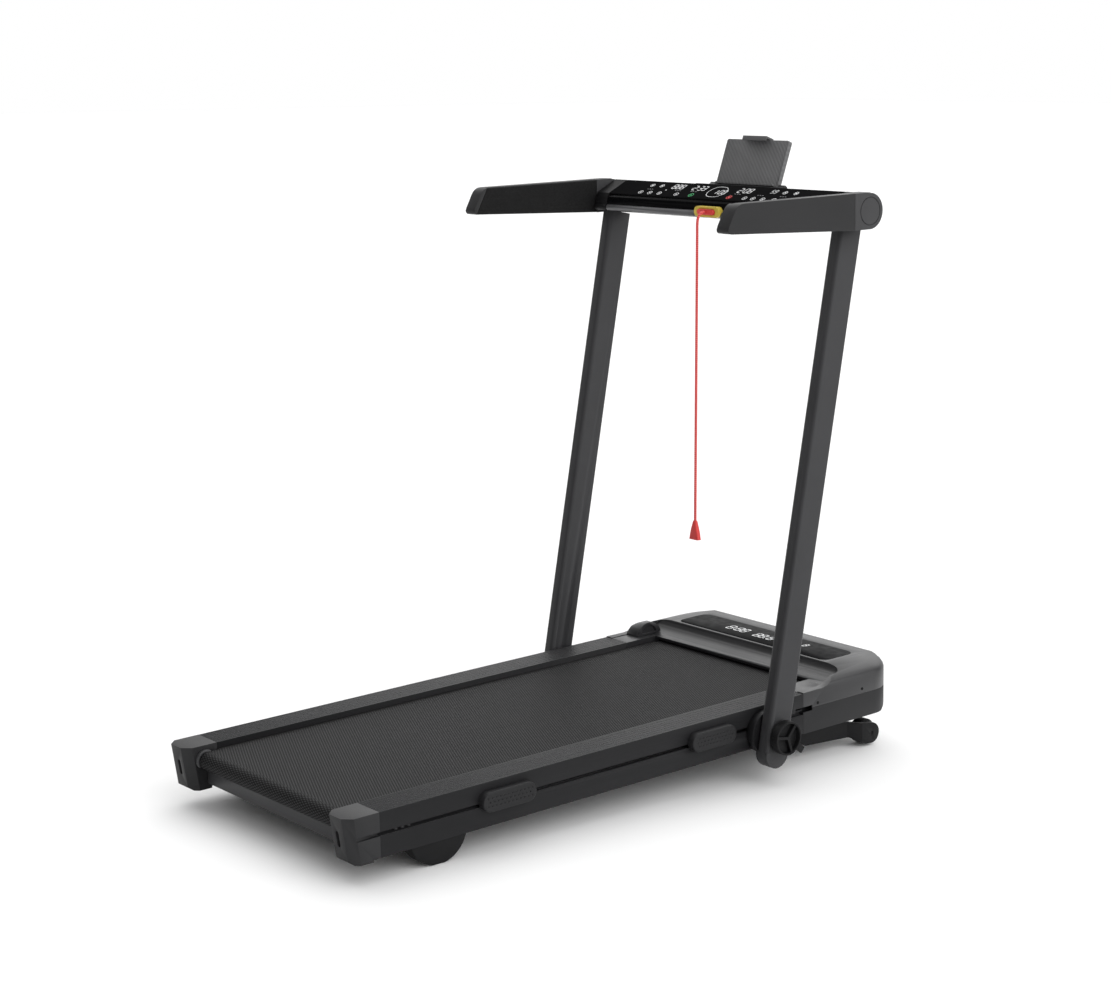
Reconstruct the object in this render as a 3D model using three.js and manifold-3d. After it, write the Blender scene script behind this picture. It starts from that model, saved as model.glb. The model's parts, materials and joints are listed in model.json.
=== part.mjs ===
// Folding home treadmill: a low running deck, two folding uprights, and a console with handrails.
//
// All sizes are in millimetres. The model is laid out in the deck's own frame: +X is the runner's
// right, +Y points to the motor end and Z = 0 is the top of the foot rails. The finished group is
// tilted by the deck's slope, then stood on the floor and centred over the origin.
import * as THREE from 'three';
import { mergeVertices } from 'three/addons/utils/BufferGeometryUtils.js';
import Module from 'manifold-3d';

const wasm = await Module();
wasm.setup();

// ---------------------------------------------------------------- driving dimensions

const GAP = 0.3; // clearance kept between touching pieces
const RUN_FIT = 0.5; // clearance around turning and sliding pieces
const PAST = 1; // how far a cutting body runs past the face that it cuts
const ROUND_END = 0.1; // what a round-ended outline keeps straight

// Deck
const DECK_LENGTH = 1392;
const DECK_SLOPE = THREE.MathUtils.degToRad(1.3);
const DECK_HEIGHT = 125; // floor to the rail top at the deck's rear end
const BELT_WIDTH = 450;
const BELT_THICK = 1.8;
const BELT_TOP = -10;
const BELT_SIDE_GAP = 13; // from the belt's edge to the rail
const RAIL_WIDTH = 68;
const RAIL_HEIGHT = 84;
const RAIL_WALL = 3;
const RAIL_FRONT = DECK_LENGTH - 280;
const STRIP_THICK = 5; // grooved foot strip on top of each rail
const STRIP_GROOVES = 6;
const GROOVE_WIDTH = 1.6;
const GROOVE_DEPTH = 1.2;
const SLOT_HEIGHT = 7.5; // long slot in each rail's outer face
const SLOT_DEPTH = 12;
const SLOT_TOP = -36.5;
const BOARD_THICK = 12;
const ROLLER_RADIUS = 16;
const ROLLER_WALL = 3.5;
const ROLLER_SHAFT_RADIUS = 6;
const ROLLER_REAR_Y = 42;
const ROLLER_FRONT_Y = DECK_LENGTH - 170;
const MEMBER_HEIGHT = 2 * ROLLER_RADIUS - BOARD_THICK - 5; // crossmembers between the belt's two runs
const MEMBER_DEPTH = 40;
const MEMBER_PLACES = [0.29, 0.58]; // as shares of the deck's length

// Rear end caps
const CAP_LENGTH = 70;
const CAP_DROP = 4; // how far a cap reaches below its rail
const CAP_CHAMFER = 16;
const CAP_RAKE = 12; // how far its foot lies ahead of its top

// Feet and transport wheels
const FOOT_RADIUS = 64;
const FOOT_WIDTH = 30;
const FOOT_INSET = 6; // from the rail's outer face
const FOOT_Y = 200;
const FOOT_FLAT = 26; // length of the flat that stands on the floor
const WHEEL_RADIUS = 26;
const WHEEL_WIDTH = 23;
const WHEEL_Y = DECK_LENGTH - 70;
const WHEEL_INSET = 25; // from the rail's outer face
const WHEEL_PIN_RADIUS = 4;
const ARM_WIDTH = 14;
const ARM_HEIGHT = 34;
const ARM_REAR_Y = DECK_LENGTH - 264;

// Motor end
const COVER_REAR_Y = DECK_LENGTH - 195; // rear lip over the belt
const COVER_CREST_Y = COVER_REAR_Y + 51;
const COVER_TOP = 26;
const COVER_WALL = 3;
const COVER_CORNER = 70;
const COVER_SIDE_RUN = 64; // width of the gentle slope from the plateau to each side
const COVER_FRONT_ROUND = 13;
const COVER_EDGE = 5; // height of the sides' upper edge
const COVER_SEAM = -34;
const COVE_END_INSET = 18; // from the cover's side to the end of the cove
const PAN_BOTTOM = -85;
const PAN_SWEEP = 46; // length of the rising front edge of the base pan
const PAN_RISE = 22;
const MOTOR_RADIUS = 34;
const MOTOR_LENGTH = 130;
const MOTOR_Y = DECK_LENGTH - 100;
const MOTOR_Z = -36;
const PULLEY_WIDTH = 9;
const WINDOW_SIZE = [456, 90];
const WINDOW_CORNER = 20;
const WINDOW_THICK = 2;

// Uprights
const FOLD_AXIS = { y: DECK_LENGTH - 397, z: -51 }; // where the uprights pivot on the deck
const HEAD_AXIS = { y: FOLD_AXIS.y + 207, z: FOLD_AXIS.z + 1020 }; // where the console pivots
const UPRIGHT_WIDTH = 30;
const UPRIGHT_DEPTH = 60;
const UPRIGHT_WALL = 2.5;
const UPRIGHT_CORNER = 9;
const UPRIGHT_TAIL = 37; // tube below the fold axis
const FLANGE_RADIUS = 43;
const FLANGE_THICK = 19;
const PIVOT_PIN_RADIUS = 8;
const KNOB_RADIUS = 34;
const KNOB_DEPTH = 18;
const KNOB_TAB = 16; // how far the knob's tab reaches past its rim
const KNOB_TAB_TURN = 62; // degrees from straight down
const HUB_RADIUS = 27;
const HUB_DEPTH = 8;

// Console and handrails
const BARREL_RADIUS = 35;
const HEAD_WIDTH = 38;
const HEAD_GAP = 3; // between the console and the upright heads, and on to the handrails
const SHAFT_RADIUS = 10;
const HANDRAIL_WIDTH = 32;
const HANDRAIL_TOP = 36; // above the head axis
const HANDRAIL_REACH = 382; // from the head axis to the rear tip
const GRIP_THICK = 7;
const PAD_END = 11; // from the handrail's rear tip to the grip's end
const PANEL_THICK = 3;
const BAR_HEIGHT = 13;
const KEY_RING = [75, 22];
const KEY_SIZE = [50, 11];
const KEY_PROUD = 4;
const KEY_DEPTH = 16;

// Tablet holder
const TABLET_WIDTH = 182;
const TABLET_HEIGHT = 99;
const TABLET_THICK = 10;
const TABLET_LEAN = THREE.MathUtils.degToRad(21);
const TABLET_HINGE = { y: 57, z: 29 }; // from the head axis
const HINGE_PIN_RADIUS = 2.5;
const BRACKET_WIDTH = 220;
const CLIP_WIDTH = 70;
const CLIP_REACH = 12;

// Safety cord
const CORD_RADIUS = 2.8;
const CORD_CLIP_HEIGHT = 40;

// ---------------------------------------------------------------- sizes that follow

const RAIL_IN = BELT_WIDTH / 2 + BELT_SIDE_GAP;
const RAIL_OUT = RAIL_IN + RAIL_WIDTH;
const ROLLER_Z = BELT_TOP - BELT_THICK - ROLLER_RADIUS;
const BELT_RETURN = ROLLER_Z - ROLLER_RADIUS - BELT_THICK; // lowest point of the belt
const FLANGE_OUT = RAIL_OUT + GAP + FLANGE_THICK;
const UPRIGHT_IN = FLANGE_OUT + 2;
const UPRIGHT_OUT = UPRIGHT_IN + UPRIGHT_WIDTH;
const HEAD_IN = UPRIGHT_IN - 2;
const HEAD_OUT = HEAD_IN + HEAD_WIDTH;
const CONSOLE_HALF = HEAD_IN - HEAD_GAP;
const HANDRAIL_IN = HEAD_OUT + HEAD_GAP;
const HANDRAIL_OUT = HANDRAIL_IN + HANDRAIL_WIDTH;
const UPRIGHT_LENGTH = Math.hypot(HEAD_AXIS.y - FOLD_AXIS.y, HEAD_AXIS.z - FOLD_AXIS.z);
const UPRIGHT_LEAN = Math.atan2(HEAD_AXIS.y - FOLD_AXIS.y, HEAD_AXIS.z - FOLD_AXIS.z);

// ---------------------------------------------------------------- materials

function finish(color, roughness, metalness = 0) {
  return new THREE.MeshStandardMaterial({ color, roughness, metalness });
}

const FINISH = {
  rail: finish(0x34353a, 0.5, 0.4),
  moulding: finish(0x2f3033, 0.6),
  cover: finish(0x3a3b3e, 0.55),
  belt: finish(0x2a2b2d, 0.85),
  board: finish(0x6b5640, 0.8),
  steel: finish(0x8d9094, 0.35, 0.9),
  darkSteel: finish(0x2c2d30, 0.45, 0.6),
  rubber: finish(0x1d1d1f, 0.9),
  upright: finish(0x37383c, 0.45, 0.4),
  housing: finish(0x505155, 0.5),
  gloss: finish(0x0c0c0e, 0.12),
  bar: finish(0x6a6b6e, 0.45),
  leather: finish(0x1a1a1c, 0.8),
  guard: finish(0x3c3d40, 0.5),
  tablet: finish(0x5d5e61, 0.6),
  red: finish(0xd24a4a, 0.5),
  yellow: finish(0xd9c14a, 0.5),
};

// ---------------------------------------------------------------- geometry helpers

// A closed body ready for joining and cutting.
function solid(geometry) {
  const bare = geometry.index ? geometry.toNonIndexed() : geometry.clone();
  bare.deleteAttribute('normal');
  bare.deleteAttribute('uv');
  const merged = mergeVertices(bare, 1e-4);
  return new wasm.Manifold(new wasm.Mesh({
    numProp: 3,
    vertProperties: new Float32Array(merged.attributes.position.array),
    triVerts: new Uint32Array(merged.index.array),
  }));
}

function cut(body, ...tools) {
  return tools.reduce((rest, tool) => rest.subtract(tool), body);
}

function join(body, ...others) {
  return others.reduce((whole, other) => whole.add(other), body);
}

function toGeometry(body) {
  const mesh = body.getMesh();
  const geometry = new THREE.BufferGeometry();
  geometry.setAttribute('position', new THREE.BufferAttribute(new Float32Array(mesh.vertProperties), 3));
  geometry.setIndex(new THREE.BufferAttribute(new Uint32Array(mesh.triVerts), 1));
  geometry.computeVertexNormals();
  return geometry;
}

function box(x0, x1, y0, y1, z0, z1) {
  const geometry = new THREE.BoxGeometry(x1 - x0, y1 - y0, z1 - z0);
  geometry.translate((x0 + x1) / 2, (y0 + y1) / 2, (z0 + z1) / 2);
  return solid(geometry);
}

function outline(points) {
  return new THREE.Shape(points.map(([a, b]) => new THREE.Vector2(a, b)));
}

function extrudeFlat(shape, depth, curveSegments = 4) {
  return new THREE.ExtrudeGeometry(shape, { depth, bevelEnabled: false, curveSegments });
}

// A side profile in (Y, Z), extruded along X from x0 to x1.
function alongX(shape, x0, x1, curveSegments) {
  const geometry = extrudeFlat(shape, x1 - x0, curveSegments);
  geometry.applyMatrix4(new THREE.Matrix4().set(0, 0, 1, x0, 1, 0, 0, 0, 0, 1, 0, 0, 0, 0, 0, 1));
  return solid(geometry);
}

// A front profile in (X, Z), extruded along Y from y0 to y1.
function alongY(shape, y0, y1, curveSegments) {
  const geometry = extrudeFlat(shape, y1 - y0, curveSegments);
  geometry.applyMatrix4(new THREE.Matrix4().set(1, 0, 0, 0, 0, 0, -1, y1, 0, 1, 0, 0, 0, 0, 0, 1));
  return solid(geometry);
}

// A plan in (X, Y), extruded along Z from z0 to z1.
function alongZ(shape, z0, z1, curveSegments) {
  const geometry = extrudeFlat(shape, z1 - z0, curveSegments);
  geometry.translate(0, 0, z0);
  return solid(geometry);
}

// A round bar along X. One corner of its polygon points straight down.
function rod(radius, x0, x1, y, z, sides = 20) {
  const geometry = new THREE.CylinderGeometry(radius, radius, x1 - x0, sides);
  geometry.rotateZ(Math.PI / 2);
  geometry.translate((x0 + x1) / 2, y, z);
  return solid(geometry);
}

function ring(outer, inner, x0, x1, y, z, sides = 20) {
  return cut(rod(outer, x0, x1, y, z, sides), rod(inner, x0 - PAST, x1 + PAST, y, z, sides));
}

function arcPoints(cy, cz, radius, from, to, steps) {
  const points = [];
  for (let i = 0; i <= steps; i += 1) {
    const angle = THREE.MathUtils.degToRad(from + ((to - from) * i) / steps);
    points.push([cy + radius * Math.cos(angle), cz + radius * Math.sin(angle)]);
  }
  return points;
}

function roundedRect(a0, a1, b0, b1, radius) {
  const shape = new THREE.Shape();
  shape.moveTo(a0 + radius, b0);
  shape.lineTo(a1 - radius, b0);
  shape.absarc(a1 - radius, b0 + radius, radius, -Math.PI / 2, 0);
  shape.lineTo(a1, b1 - radius);
  shape.absarc(a1 - radius, b1 - radius, radius, 0, Math.PI / 2);
  shape.lineTo(a0 + radius, b1);
  shape.absarc(a0 + radius, b1 - radius, radius, Math.PI / 2, Math.PI);
  shape.lineTo(a0, b0 + radius);
  shape.absarc(a0 + radius, b0 + radius, radius, Math.PI, Math.PI * 1.5);
  return shape;
}

function mirrored(body) {
  return body.mirror([1, 0, 0]);
}

// The deck-frame height of a point that lies a given height above the floor.
function heightOverFloor(y, height) {
  return (height - DECK_HEIGHT - y * Math.sin(DECK_SLOPE)) / Math.cos(DECK_SLOPE);
}

const treadmill = new THREE.Group();
treadmill.rotation.x = DECK_SLOPE;

function place(name, body, material, parent = treadmill) {
  const mesh = new THREE.Mesh(toGeometry(body), material);
  mesh.name = name;
  parent.add(mesh);
  return mesh;
}

// Makes the right-hand piece as modelled and the left-hand piece as its mirror image.
function placePair(name, body, material, parent = treadmill) {
  place(`${name}_right`, body, material, parent);
  place(`${name}_left`, mirrored(body), material, parent);
}

// ---------------------------------------------------------------- side rails

const RAIL_BOTTOM = -RAIL_HEIGHT;
const SLOT_BOTTOM = SLOT_TOP - SLOT_HEIGHT;
const RAIL_REAR = CAP_LENGTH + GAP;
// Service notch in the outer face, running past the rail's end into the cover.
const NOTCH = { y: RAIL_FRONT - 22, past: 26, bottom: COVER_SEAM - 5.6, top: COVER_SEAM + 5.6 };

// The extrusion: a chamber, a T-slot in the outer face and a grooved foot strip along the top.
function railSection() {
  const slotIn = RAIL_OUT - SLOT_DEPTH;
  const pitch = RAIL_WIDTH / (STRIP_GROOVES + 1);
  const points = [
    [RAIL_IN, RAIL_BOTTOM],
    [RAIL_OUT, RAIL_BOTTOM],
    [RAIL_OUT, SLOT_BOTTOM],
    [slotIn, SLOT_BOTTOM],
    [slotIn, SLOT_TOP],
    [RAIL_OUT, SLOT_TOP],
    [RAIL_OUT, -1],
    [RAIL_OUT - 1, 0],
  ];
  for (let i = STRIP_GROOVES; i >= 1; i -= 1) {
    const x = RAIL_IN + i * pitch;
    points.push([x + GROOVE_WIDTH / 2, 0]);
    points.push([x + GROOVE_WIDTH / 2, -GROOVE_DEPTH]);
    points.push([x - GROOVE_WIDTH / 2, -GROOVE_DEPTH]);
    points.push([x - GROOVE_WIDTH / 2, 0]);
  }
  points.push([RAIL_IN, 0]);
  const section = outline(points);
  const chamberOut = RAIL_OUT - RAIL_WALL;
  const chamberTop = -STRIP_THICK;
  const pocketIn = slotIn - RAIL_WALL;
  section.holes.push(outline([
    [RAIL_IN + RAIL_WALL, RAIL_BOTTOM + RAIL_WALL],
    [RAIL_IN + RAIL_WALL, chamberTop],
    [chamberOut, chamberTop],
    [chamberOut, SLOT_TOP + RAIL_WALL],
    [pocketIn, SLOT_TOP + RAIL_WALL],
    [pocketIn, SLOT_BOTTOM - RAIL_WALL],
    [chamberOut, SLOT_BOTTOM - RAIL_WALL],
    [chamberOut, RAIL_BOTTOM + RAIL_WALL],
  ]));
  return section;
}

function sideRail() {
  const notch = box(
    RAIL_OUT - RAIL_WALL - PAST, RAIL_OUT + PAST, NOTCH.y, RAIL_FRONT + PAST, NOTCH.bottom, NOTCH.top,
  );
  const pinHole = rod(
    PIVOT_PIN_RADIUS + RUN_FIT, RAIL_IN + RAIL_WALL + PAST, RAIL_OUT + PAST, FOLD_AXIS.y, FOLD_AXIS.z,
  );
  return cut(alongY(railSection(), RAIL_REAR, RAIL_FRONT), notch, pinHole);
}

placePair('side_rail', sideRail(), FINISH.rail);

// ---------------------------------------------------------------- rear end caps

const CAP_SLOT = { x: (RAIL_IN + RAIL_OUT) / 2 - 2, width: 9, top: -27, bottom: -58 };
const CAP_BOTTOM = RAIL_BOTTOM - CAP_DROP;
const CAP_HEEL = [8, 14]; // length and height of the bevel under each cap's rear
const CAP_LIP = 15; // length of the lip that reaches under the rail
const SHAFT_SLOT = 11; // half the length of the slot that the rear shaft is tensioned along

function rearCap() {
  const plan = outline([
    [RAIL_IN, CAP_CHAMFER],
    [RAIL_IN + CAP_CHAMFER, 0],
    [RAIL_OUT - CAP_CHAMFER, 0],
    [RAIL_OUT, CAP_CHAMFER],
    [RAIL_OUT, CAP_LENGTH],
    [RAIL_IN, CAP_LENGTH],
  ]);
  const geometry = extrudeFlat(plan, -CAP_BOTTOM);
  geometry.translate(0, 0, CAP_BOTTOM);
  const position = geometry.attributes.position;
  for (let i = 0; i < position.count; i += 1) {
    if (position.getY(i) < CAP_LENGTH - PAST) {
      position.setY(i, position.getY(i) + (CAP_RAKE * position.getZ(i)) / CAP_BOTTOM);
    }
  }
  const lip = box(
    RAIL_IN - PAST, RAIL_OUT + PAST, CAP_LENGTH - CAP_LIP, CAP_LENGTH + PAST, CAP_BOTTOM - PAST, RAIL_BOTTOM,
  );
  const heelFront = CAP_RAKE + CAP_HEEL[0];
  const heel = alongX(
    outline([
      [0, CAP_BOTTOM - PAST], [heelFront, CAP_BOTTOM - PAST], [heelFront, CAP_BOTTOM],
      [0, CAP_BOTTOM + CAP_HEEL[1]],
    ]),
    RAIL_IN - PAST, RAIL_OUT + PAST,
  );
  const slot = alongY(
    roundedRect(
      CAP_SLOT.x - CAP_SLOT.width / 2, CAP_SLOT.x + CAP_SLOT.width / 2, CAP_SLOT.bottom, CAP_SLOT.top,
      CAP_SLOT.width / 2 - ROUND_END,
    ),
    -PAST, ROLLER_REAR_Y, 4,
  );
  const shaftSlot = box(
    RAIL_IN - PAST, CAP_SLOT.x + ROLLER_SHAFT_RADIUS + 3,
    ROLLER_REAR_Y - SHAFT_SLOT, ROLLER_REAR_Y + SHAFT_SLOT,
    ROLLER_Z - ROLLER_SHAFT_RADIUS - GAP, ROLLER_Z + ROLLER_SHAFT_RADIUS + GAP,
  );
  const groove = alongZ(
    outline([
      [RAIL_OUT, 8],
      [RAIL_OUT + PAST, 8],
      [RAIL_OUT + PAST, CAP_LENGTH + PAST],
      [RAIL_OUT - 9, CAP_LENGTH + PAST],
      [RAIL_OUT - 2, 24],
    ]),
    SLOT_BOTTOM, SLOT_TOP,
  );
  return cut(solid(geometry), lip, heel, slot, shaftSlot, groove);
}

// End guards bend round the belt's edges at the rear roller.
function rollerGuard() {
  const inner = ROLLER_RADIUS + 0.6;
  const outer = ROLLER_RADIUS + BELT_THICK + 2.4;
  const band = [
    ...arcPoints(ROLLER_REAR_Y, ROLLER_Z, outer, 60, 215, 10),
    ...arcPoints(ROLLER_REAR_Y, ROLLER_Z, inner, 215, 60, 10),
  ];
  return alongX(outline(band), BELT_WIDTH / 2 + 4, RAIL_IN - GAP);
}

placePair('rear_cap', rearCap(), FINISH.moulding);
placePair('roller_guard', rollerGuard(), FINISH.guard);

// ---------------------------------------------------------------- frame, board, belt and rollers

const BOARD_TOP = BELT_TOP - BELT_THICK - GAP;
const BOARD_BOTTOM = BOARD_TOP - BOARD_THICK;
const FRAME_HALF = RAIL_IN - GAP;

// The section of a rectangular tube.
function tubeSection(a0, a1, b0, b1, wall) {
  const section = outline([[a0, b0], [a1, b0], [a1, b1], [a0, b1]]);
  section.holes.push(outline([
    [a0 + wall, b0 + wall], [a0 + wall, b1 - wall], [a1 - wall, b1 - wall], [a1 - wall, b0 + wall],
  ]));
  return section;
}

function hollowBar(y0, y1, z0, z1, wall) {
  return alongX(tubeSection(y0, y1, z0, z1, wall), -FRAME_HALF, FRAME_HALF);
}

place('rear_crossbar', hollowBar(46, 76, -77, BELT_RETURN - 5, 2), FINISH.rail);
MEMBER_PLACES.forEach((share, i) => {
  const y = share * DECK_LENGTH;
  const member = hollowBar(
    y - MEMBER_DEPTH / 2, y + MEMBER_DEPTH / 2, BOARD_BOTTOM - GAP - MEMBER_HEIGHT, BOARD_BOTTOM - GAP, 2,
  );
  place(`crossmember_${i + 1}`, member, FINISH.darkSteel);
});
place(
  'deck_board',
  box(-FRAME_HALF, FRAME_HALF, ROLLER_REAR_Y + 28, ROLLER_FRONT_Y - 28, BOARD_BOTTOM, BOARD_TOP),
  FINISH.board,
);

// The belt is one closed band round both rollers.
function runningBelt() {
  const half = BELT_WIDTH / 2;
  const band = (radius) => outline([
    ...arcPoints(ROLLER_REAR_Y, ROLLER_Z, radius, 90, 270, 14),
    ...arcPoints(ROLLER_FRONT_Y, ROLLER_Z, radius, -90, 90, 14),
  ]);
  const section = band(ROLLER_RADIUS + BELT_THICK);
  section.holes.push(band(ROLLER_RADIUS + GAP));
  return alongX(section, -half, half);
}

place('running_belt', runningBelt(), FINISH.belt);

const ROLLER_HALF = BELT_WIDTH / 2 + 2;
const HUB_PLUG = 9; // length of the bearing hub in each end of a roller

// A roller tube with a bearing hub in each end.
function roller(y) {
  const tube = ring(ROLLER_RADIUS, ROLLER_RADIUS - ROLLER_WALL, -ROLLER_HALF, ROLLER_HALF, y, ROLLER_Z);
  const hub = ring(
    ROLLER_RADIUS - 1, ROLLER_SHAFT_RADIUS + GAP, ROLLER_HALF - HUB_PLUG, ROLLER_HALF, y, ROLLER_Z,
  );
  return join(tube, hub, mirrored(hub));
}

place('rear_roller', roller(ROLLER_REAR_Y), FINISH.steel);
place(
  'rear_shaft',
  rod(
    ROLLER_SHAFT_RADIUS, -CAP_SLOT.x - ROLLER_SHAFT_RADIUS, CAP_SLOT.x + ROLLER_SHAFT_RADIUS,
    ROLLER_REAR_Y, ROLLER_Z,
  ),
  FINISH.steel,
);

// ---------------------------------------------------------------- motor end

const SUBFRAME = {
  x0: RAIL_IN + RAIL_WALL + 2,
  x1: RAIL_OUT - SLOT_DEPTH - RAIL_WALL - 2,
  z0: RAIL_BOTTOM + RAIL_WALL + 3,
  z1: -STRIP_THICK - 7,
};
const SUBFRAME_REAR = RAIL_FRONT - 65;
const SUBFRAME_FRONT = DECK_LENGTH - PAN_SWEEP - 4;

function subframe() {
  const { x0, x1, z0, z1 } = SUBFRAME;
  return alongY(tubeSection(x0, x1, z0, z1, RAIL_WALL), SUBFRAME_REAR, SUBFRAME_FRONT);
}

const MOTOR_BASE_Z = MOTOR_Z - MOTOR_RADIUS - 6;
const PULLEY_X = ROLLER_HALF + GAP;
const MOTOR_OUT = PULLEY_X - 12;
const MOTOR_PULLEY_RADIUS = 11;
const ROLLER_PULLEY_RADIUS = ROLLER_RADIUS + 2;
const DRIVE_BELT_THICK = 2;

// One weldment carries the motor end: two tubes that plug into the rails, the motor's tray with its
// saddles, and the front roller's fixed shaft.
function motorFrame() {
  const half = SUBFRAME.x0 + 1;
  const tray = box(-half, half, MOTOR_Y - 38, SUBFRAME_FRONT, MOTOR_BASE_Z - 3, MOTOR_BASE_Z);
  const saddles = [MOTOR_OUT - MOTOR_LENGTH + 12, MOTOR_OUT - 24].map((x) => (
    box(x, x + 10, MOTOR_Y - 24, MOTOR_Y + 24, MOTOR_BASE_Z - 1, MOTOR_BASE_Z + 10)
  ));
  const motorClearance = rod(MOTOR_RADIUS + GAP, -SUBFRAME.x0, SUBFRAME.x0, MOTOR_Y, MOTOR_Z, 32);
  const shaft = rod(ROLLER_SHAFT_RADIUS, -half, half, ROLLER_FRONT_Y, ROLLER_Z);
  const tube = subframe();
  return join(cut(join(tray, ...saddles), motorClearance), tube, mirrored(tube), shaft);
}

place('motor_frame', motorFrame(), FINISH.darkSteel);
place(
  'motor',
  cut(
    rod(MOTOR_RADIUS, MOTOR_OUT - MOTOR_LENGTH, MOTOR_OUT, MOTOR_Y, MOTOR_Z, 32),
    rod(5 + RUN_FIT, MOTOR_OUT - 20, MOTOR_OUT + PAST, MOTOR_Y, MOTOR_Z, 16),
  ),
  FINISH.darkSteel,
);
place(
  'motor_pulley',
  join(
    rod(5, MOTOR_OUT - 18, PULLEY_X + 1, MOTOR_Y, MOTOR_Z, 16),
    rod(MOTOR_PULLEY_RADIUS, PULLEY_X, PULLEY_X + PULLEY_WIDTH, MOTOR_Y, MOTOR_Z, 20),
  ),
  FINISH.steel,
);
place(
  'front_roller',
  join(
    roller(ROLLER_FRONT_Y),
    ring(
      ROLLER_PULLEY_RADIUS, ROLLER_SHAFT_RADIUS + GAP, ROLLER_HALF - 1, PULLEY_X + PULLEY_WIDTH,
      ROLLER_FRONT_Y, ROLLER_Z,
    ),
  ),
  FINISH.steel,
);

// The drive belt wraps both pulleys: tangent runs between two circles of different radius.
function driveBelt() {
  const dy = MOTOR_Y - ROLLER_FRONT_Y;
  const dz = MOTOR_Z - ROLLER_Z;
  const axisAngle = THREE.MathUtils.radToDeg(Math.atan2(dz, dy));
  const band = (extra) => {
    const large = ROLLER_PULLEY_RADIUS + extra;
    const small = MOTOR_PULLEY_RADIUS + extra;
    const spread = THREE.MathUtils.radToDeg(Math.acos((large - small) / Math.hypot(dy, dz)));
    return outline([
      ...arcPoints(ROLLER_FRONT_Y, ROLLER_Z, large, axisAngle + spread, axisAngle + 360 - spread, 20),
      ...arcPoints(MOTOR_Y, MOTOR_Z, small, axisAngle - spread, axisAngle + spread, 14),
    ]);
  };
  const section = band(GAP + DRIVE_BELT_THICK);
  section.holes.push(band(GAP));
  return alongX(section, PULLEY_X + 1, PULLEY_X + PULLEY_WIDTH - 1);
}

place('drive_belt', driveBelt(), FINISH.rubber);

// The controller sits on the tray beside the motor, with cooling fins on top.
function controller() {
  const x0 = -170;
  const x1 = -30;
  const y0 = MOTOR_Y - 34;
  const y1 = SUBFRAME_FRONT;
  const z0 = MOTOR_BASE_Z + GAP;
  const base = box(x0, x1, y0, y1, z0, z0 + 34);
  const fins = [];
  for (let x = x0 + 4; x < x1 - 4; x += 14) {
    fins.push(box(x, x + 4, y0 + 4, y1 - 4, z0 + 33, z0 + 48));
  }
  return join(base, ...fins);
}

place('motor_controller', controller(), FINISH.steel);

// The cover's plan: full width round the motor, with two cheeks running back along the rails.
// The hollow's plan is inset by the wall, and stays open where the cheeks meet the rails.
function coverPlan(wall) {
  const half = RAIL_OUT - wall;
  const front = DECK_LENGTH - wall;
  const corner = COVER_CORNER - wall;
  const throat = RAIL_IN + wall;
  const cheekRear = wall ? RAIL_FRONT - PAST : RAIL_FRONT + GAP;
  const shape = new THREE.Shape();
  shape.moveTo(half, cheekRear);
  shape.lineTo(half, front - corner);
  shape.absarc(half - corner, front - corner, corner, 0, Math.PI / 2);
  shape.lineTo(-half + corner, front);
  shape.absarc(-half + corner, front - corner, corner, Math.PI / 2, Math.PI);
  shape.lineTo(-half, cheekRear);
  shape.lineTo(-throat, cheekRear);
  shape.lineTo(-throat, COVER_REAR_Y + wall);
  shape.lineTo(throat, COVER_REAR_Y + wall);
  shape.lineTo(throat, cheekRear);
  return shape;
}

// How far the cover's skin has drawn in at each share of its rise from the sides' edge to the
// plateau: its sides slope gently, and its front edge is tightly rounded.
const SHOULDER = [
  { rise: 0, side: 0, front: 0 },
  { rise: 0.24, side: 0.05, front: 0 },
  { rise: 0.5, side: 0.2, front: 0.08 },
  { rise: 0.76, side: 0.48, front: 0.35 },
  { rise: 0.92, side: 0.76, front: 0.68 },
  { rise: 1, side: 1, front: 1 },
];

// The plan, extruded up from the bottom, then drawn in level by level along the shoulder.
function shoulderedBlock(wall, bottom) {
  const levels = SHOULDER.length;
  const geometry = new THREE.ExtrudeGeometry(coverPlan(wall), {
    depth: levels, steps: levels, bevelEnabled: false, curveSegments: 5,
  });
  const edge = COVER_EDGE - wall;
  const top = COVER_TOP - wall;
  const sideBand = RAIL_WIDTH - wall - PAST;
  const sideRun = Math.min(COVER_SIDE_RUN, sideBand - PAST);
  const throat = RAIL_OUT - wall - sideBand;
  const frontBand = COVER_CORNER - wall;
  const frontLine = DECK_LENGTH - wall - frontBand;
  const position = geometry.attributes.position;
  for (let i = 0; i < position.count; i += 1) {
    const level = Math.round(position.getZ(i));
    if (level === 0) {
      position.setZ(i, bottom);
    } else {
      const { rise, side, front } = SHOULDER[level - 1];
      const x = position.getX(i);
      const y = position.getY(i);
      const outside = Math.max(Math.abs(x) - throat, 0) / sideBand;
      const ahead = Math.max(y - frontLine, 0) / frontBand;
      position.setX(i, x - Math.sign(x) * outside * side * sideRun);
      position.setY(i, y - ahead * front * COVER_FRONT_ROUND);
      position.setZ(i, edge + rise * (top - edge));
    }
  }
  return solid(geometry);
}

// Everything above the cheeks: level with the foot strips behind, then an S-curve up to the plateau.
function cheekCut(drop) {
  const floor = 1.5 - drop;
  const points = [[RAIL_FRONT - 2 * PAST, floor], [COVER_REAR_Y - 32, floor]];
  for (let i = 1; i <= 6; i += 1) {
    const t = i / 6;
    const rise = t * t * (3 - 2 * t);
    points.push([COVER_REAR_Y - 32 + t * 78, floor + COVER_TOP * rise]);
  }
  points.push([COVER_REAR_Y + 46, COVER_TOP + 20], [RAIL_FRONT - 2 * PAST, COVER_TOP + 20]);
  return alongX(outline(points), -RAIL_OUT - PAST, RAIL_OUT + PAST);
}

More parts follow.
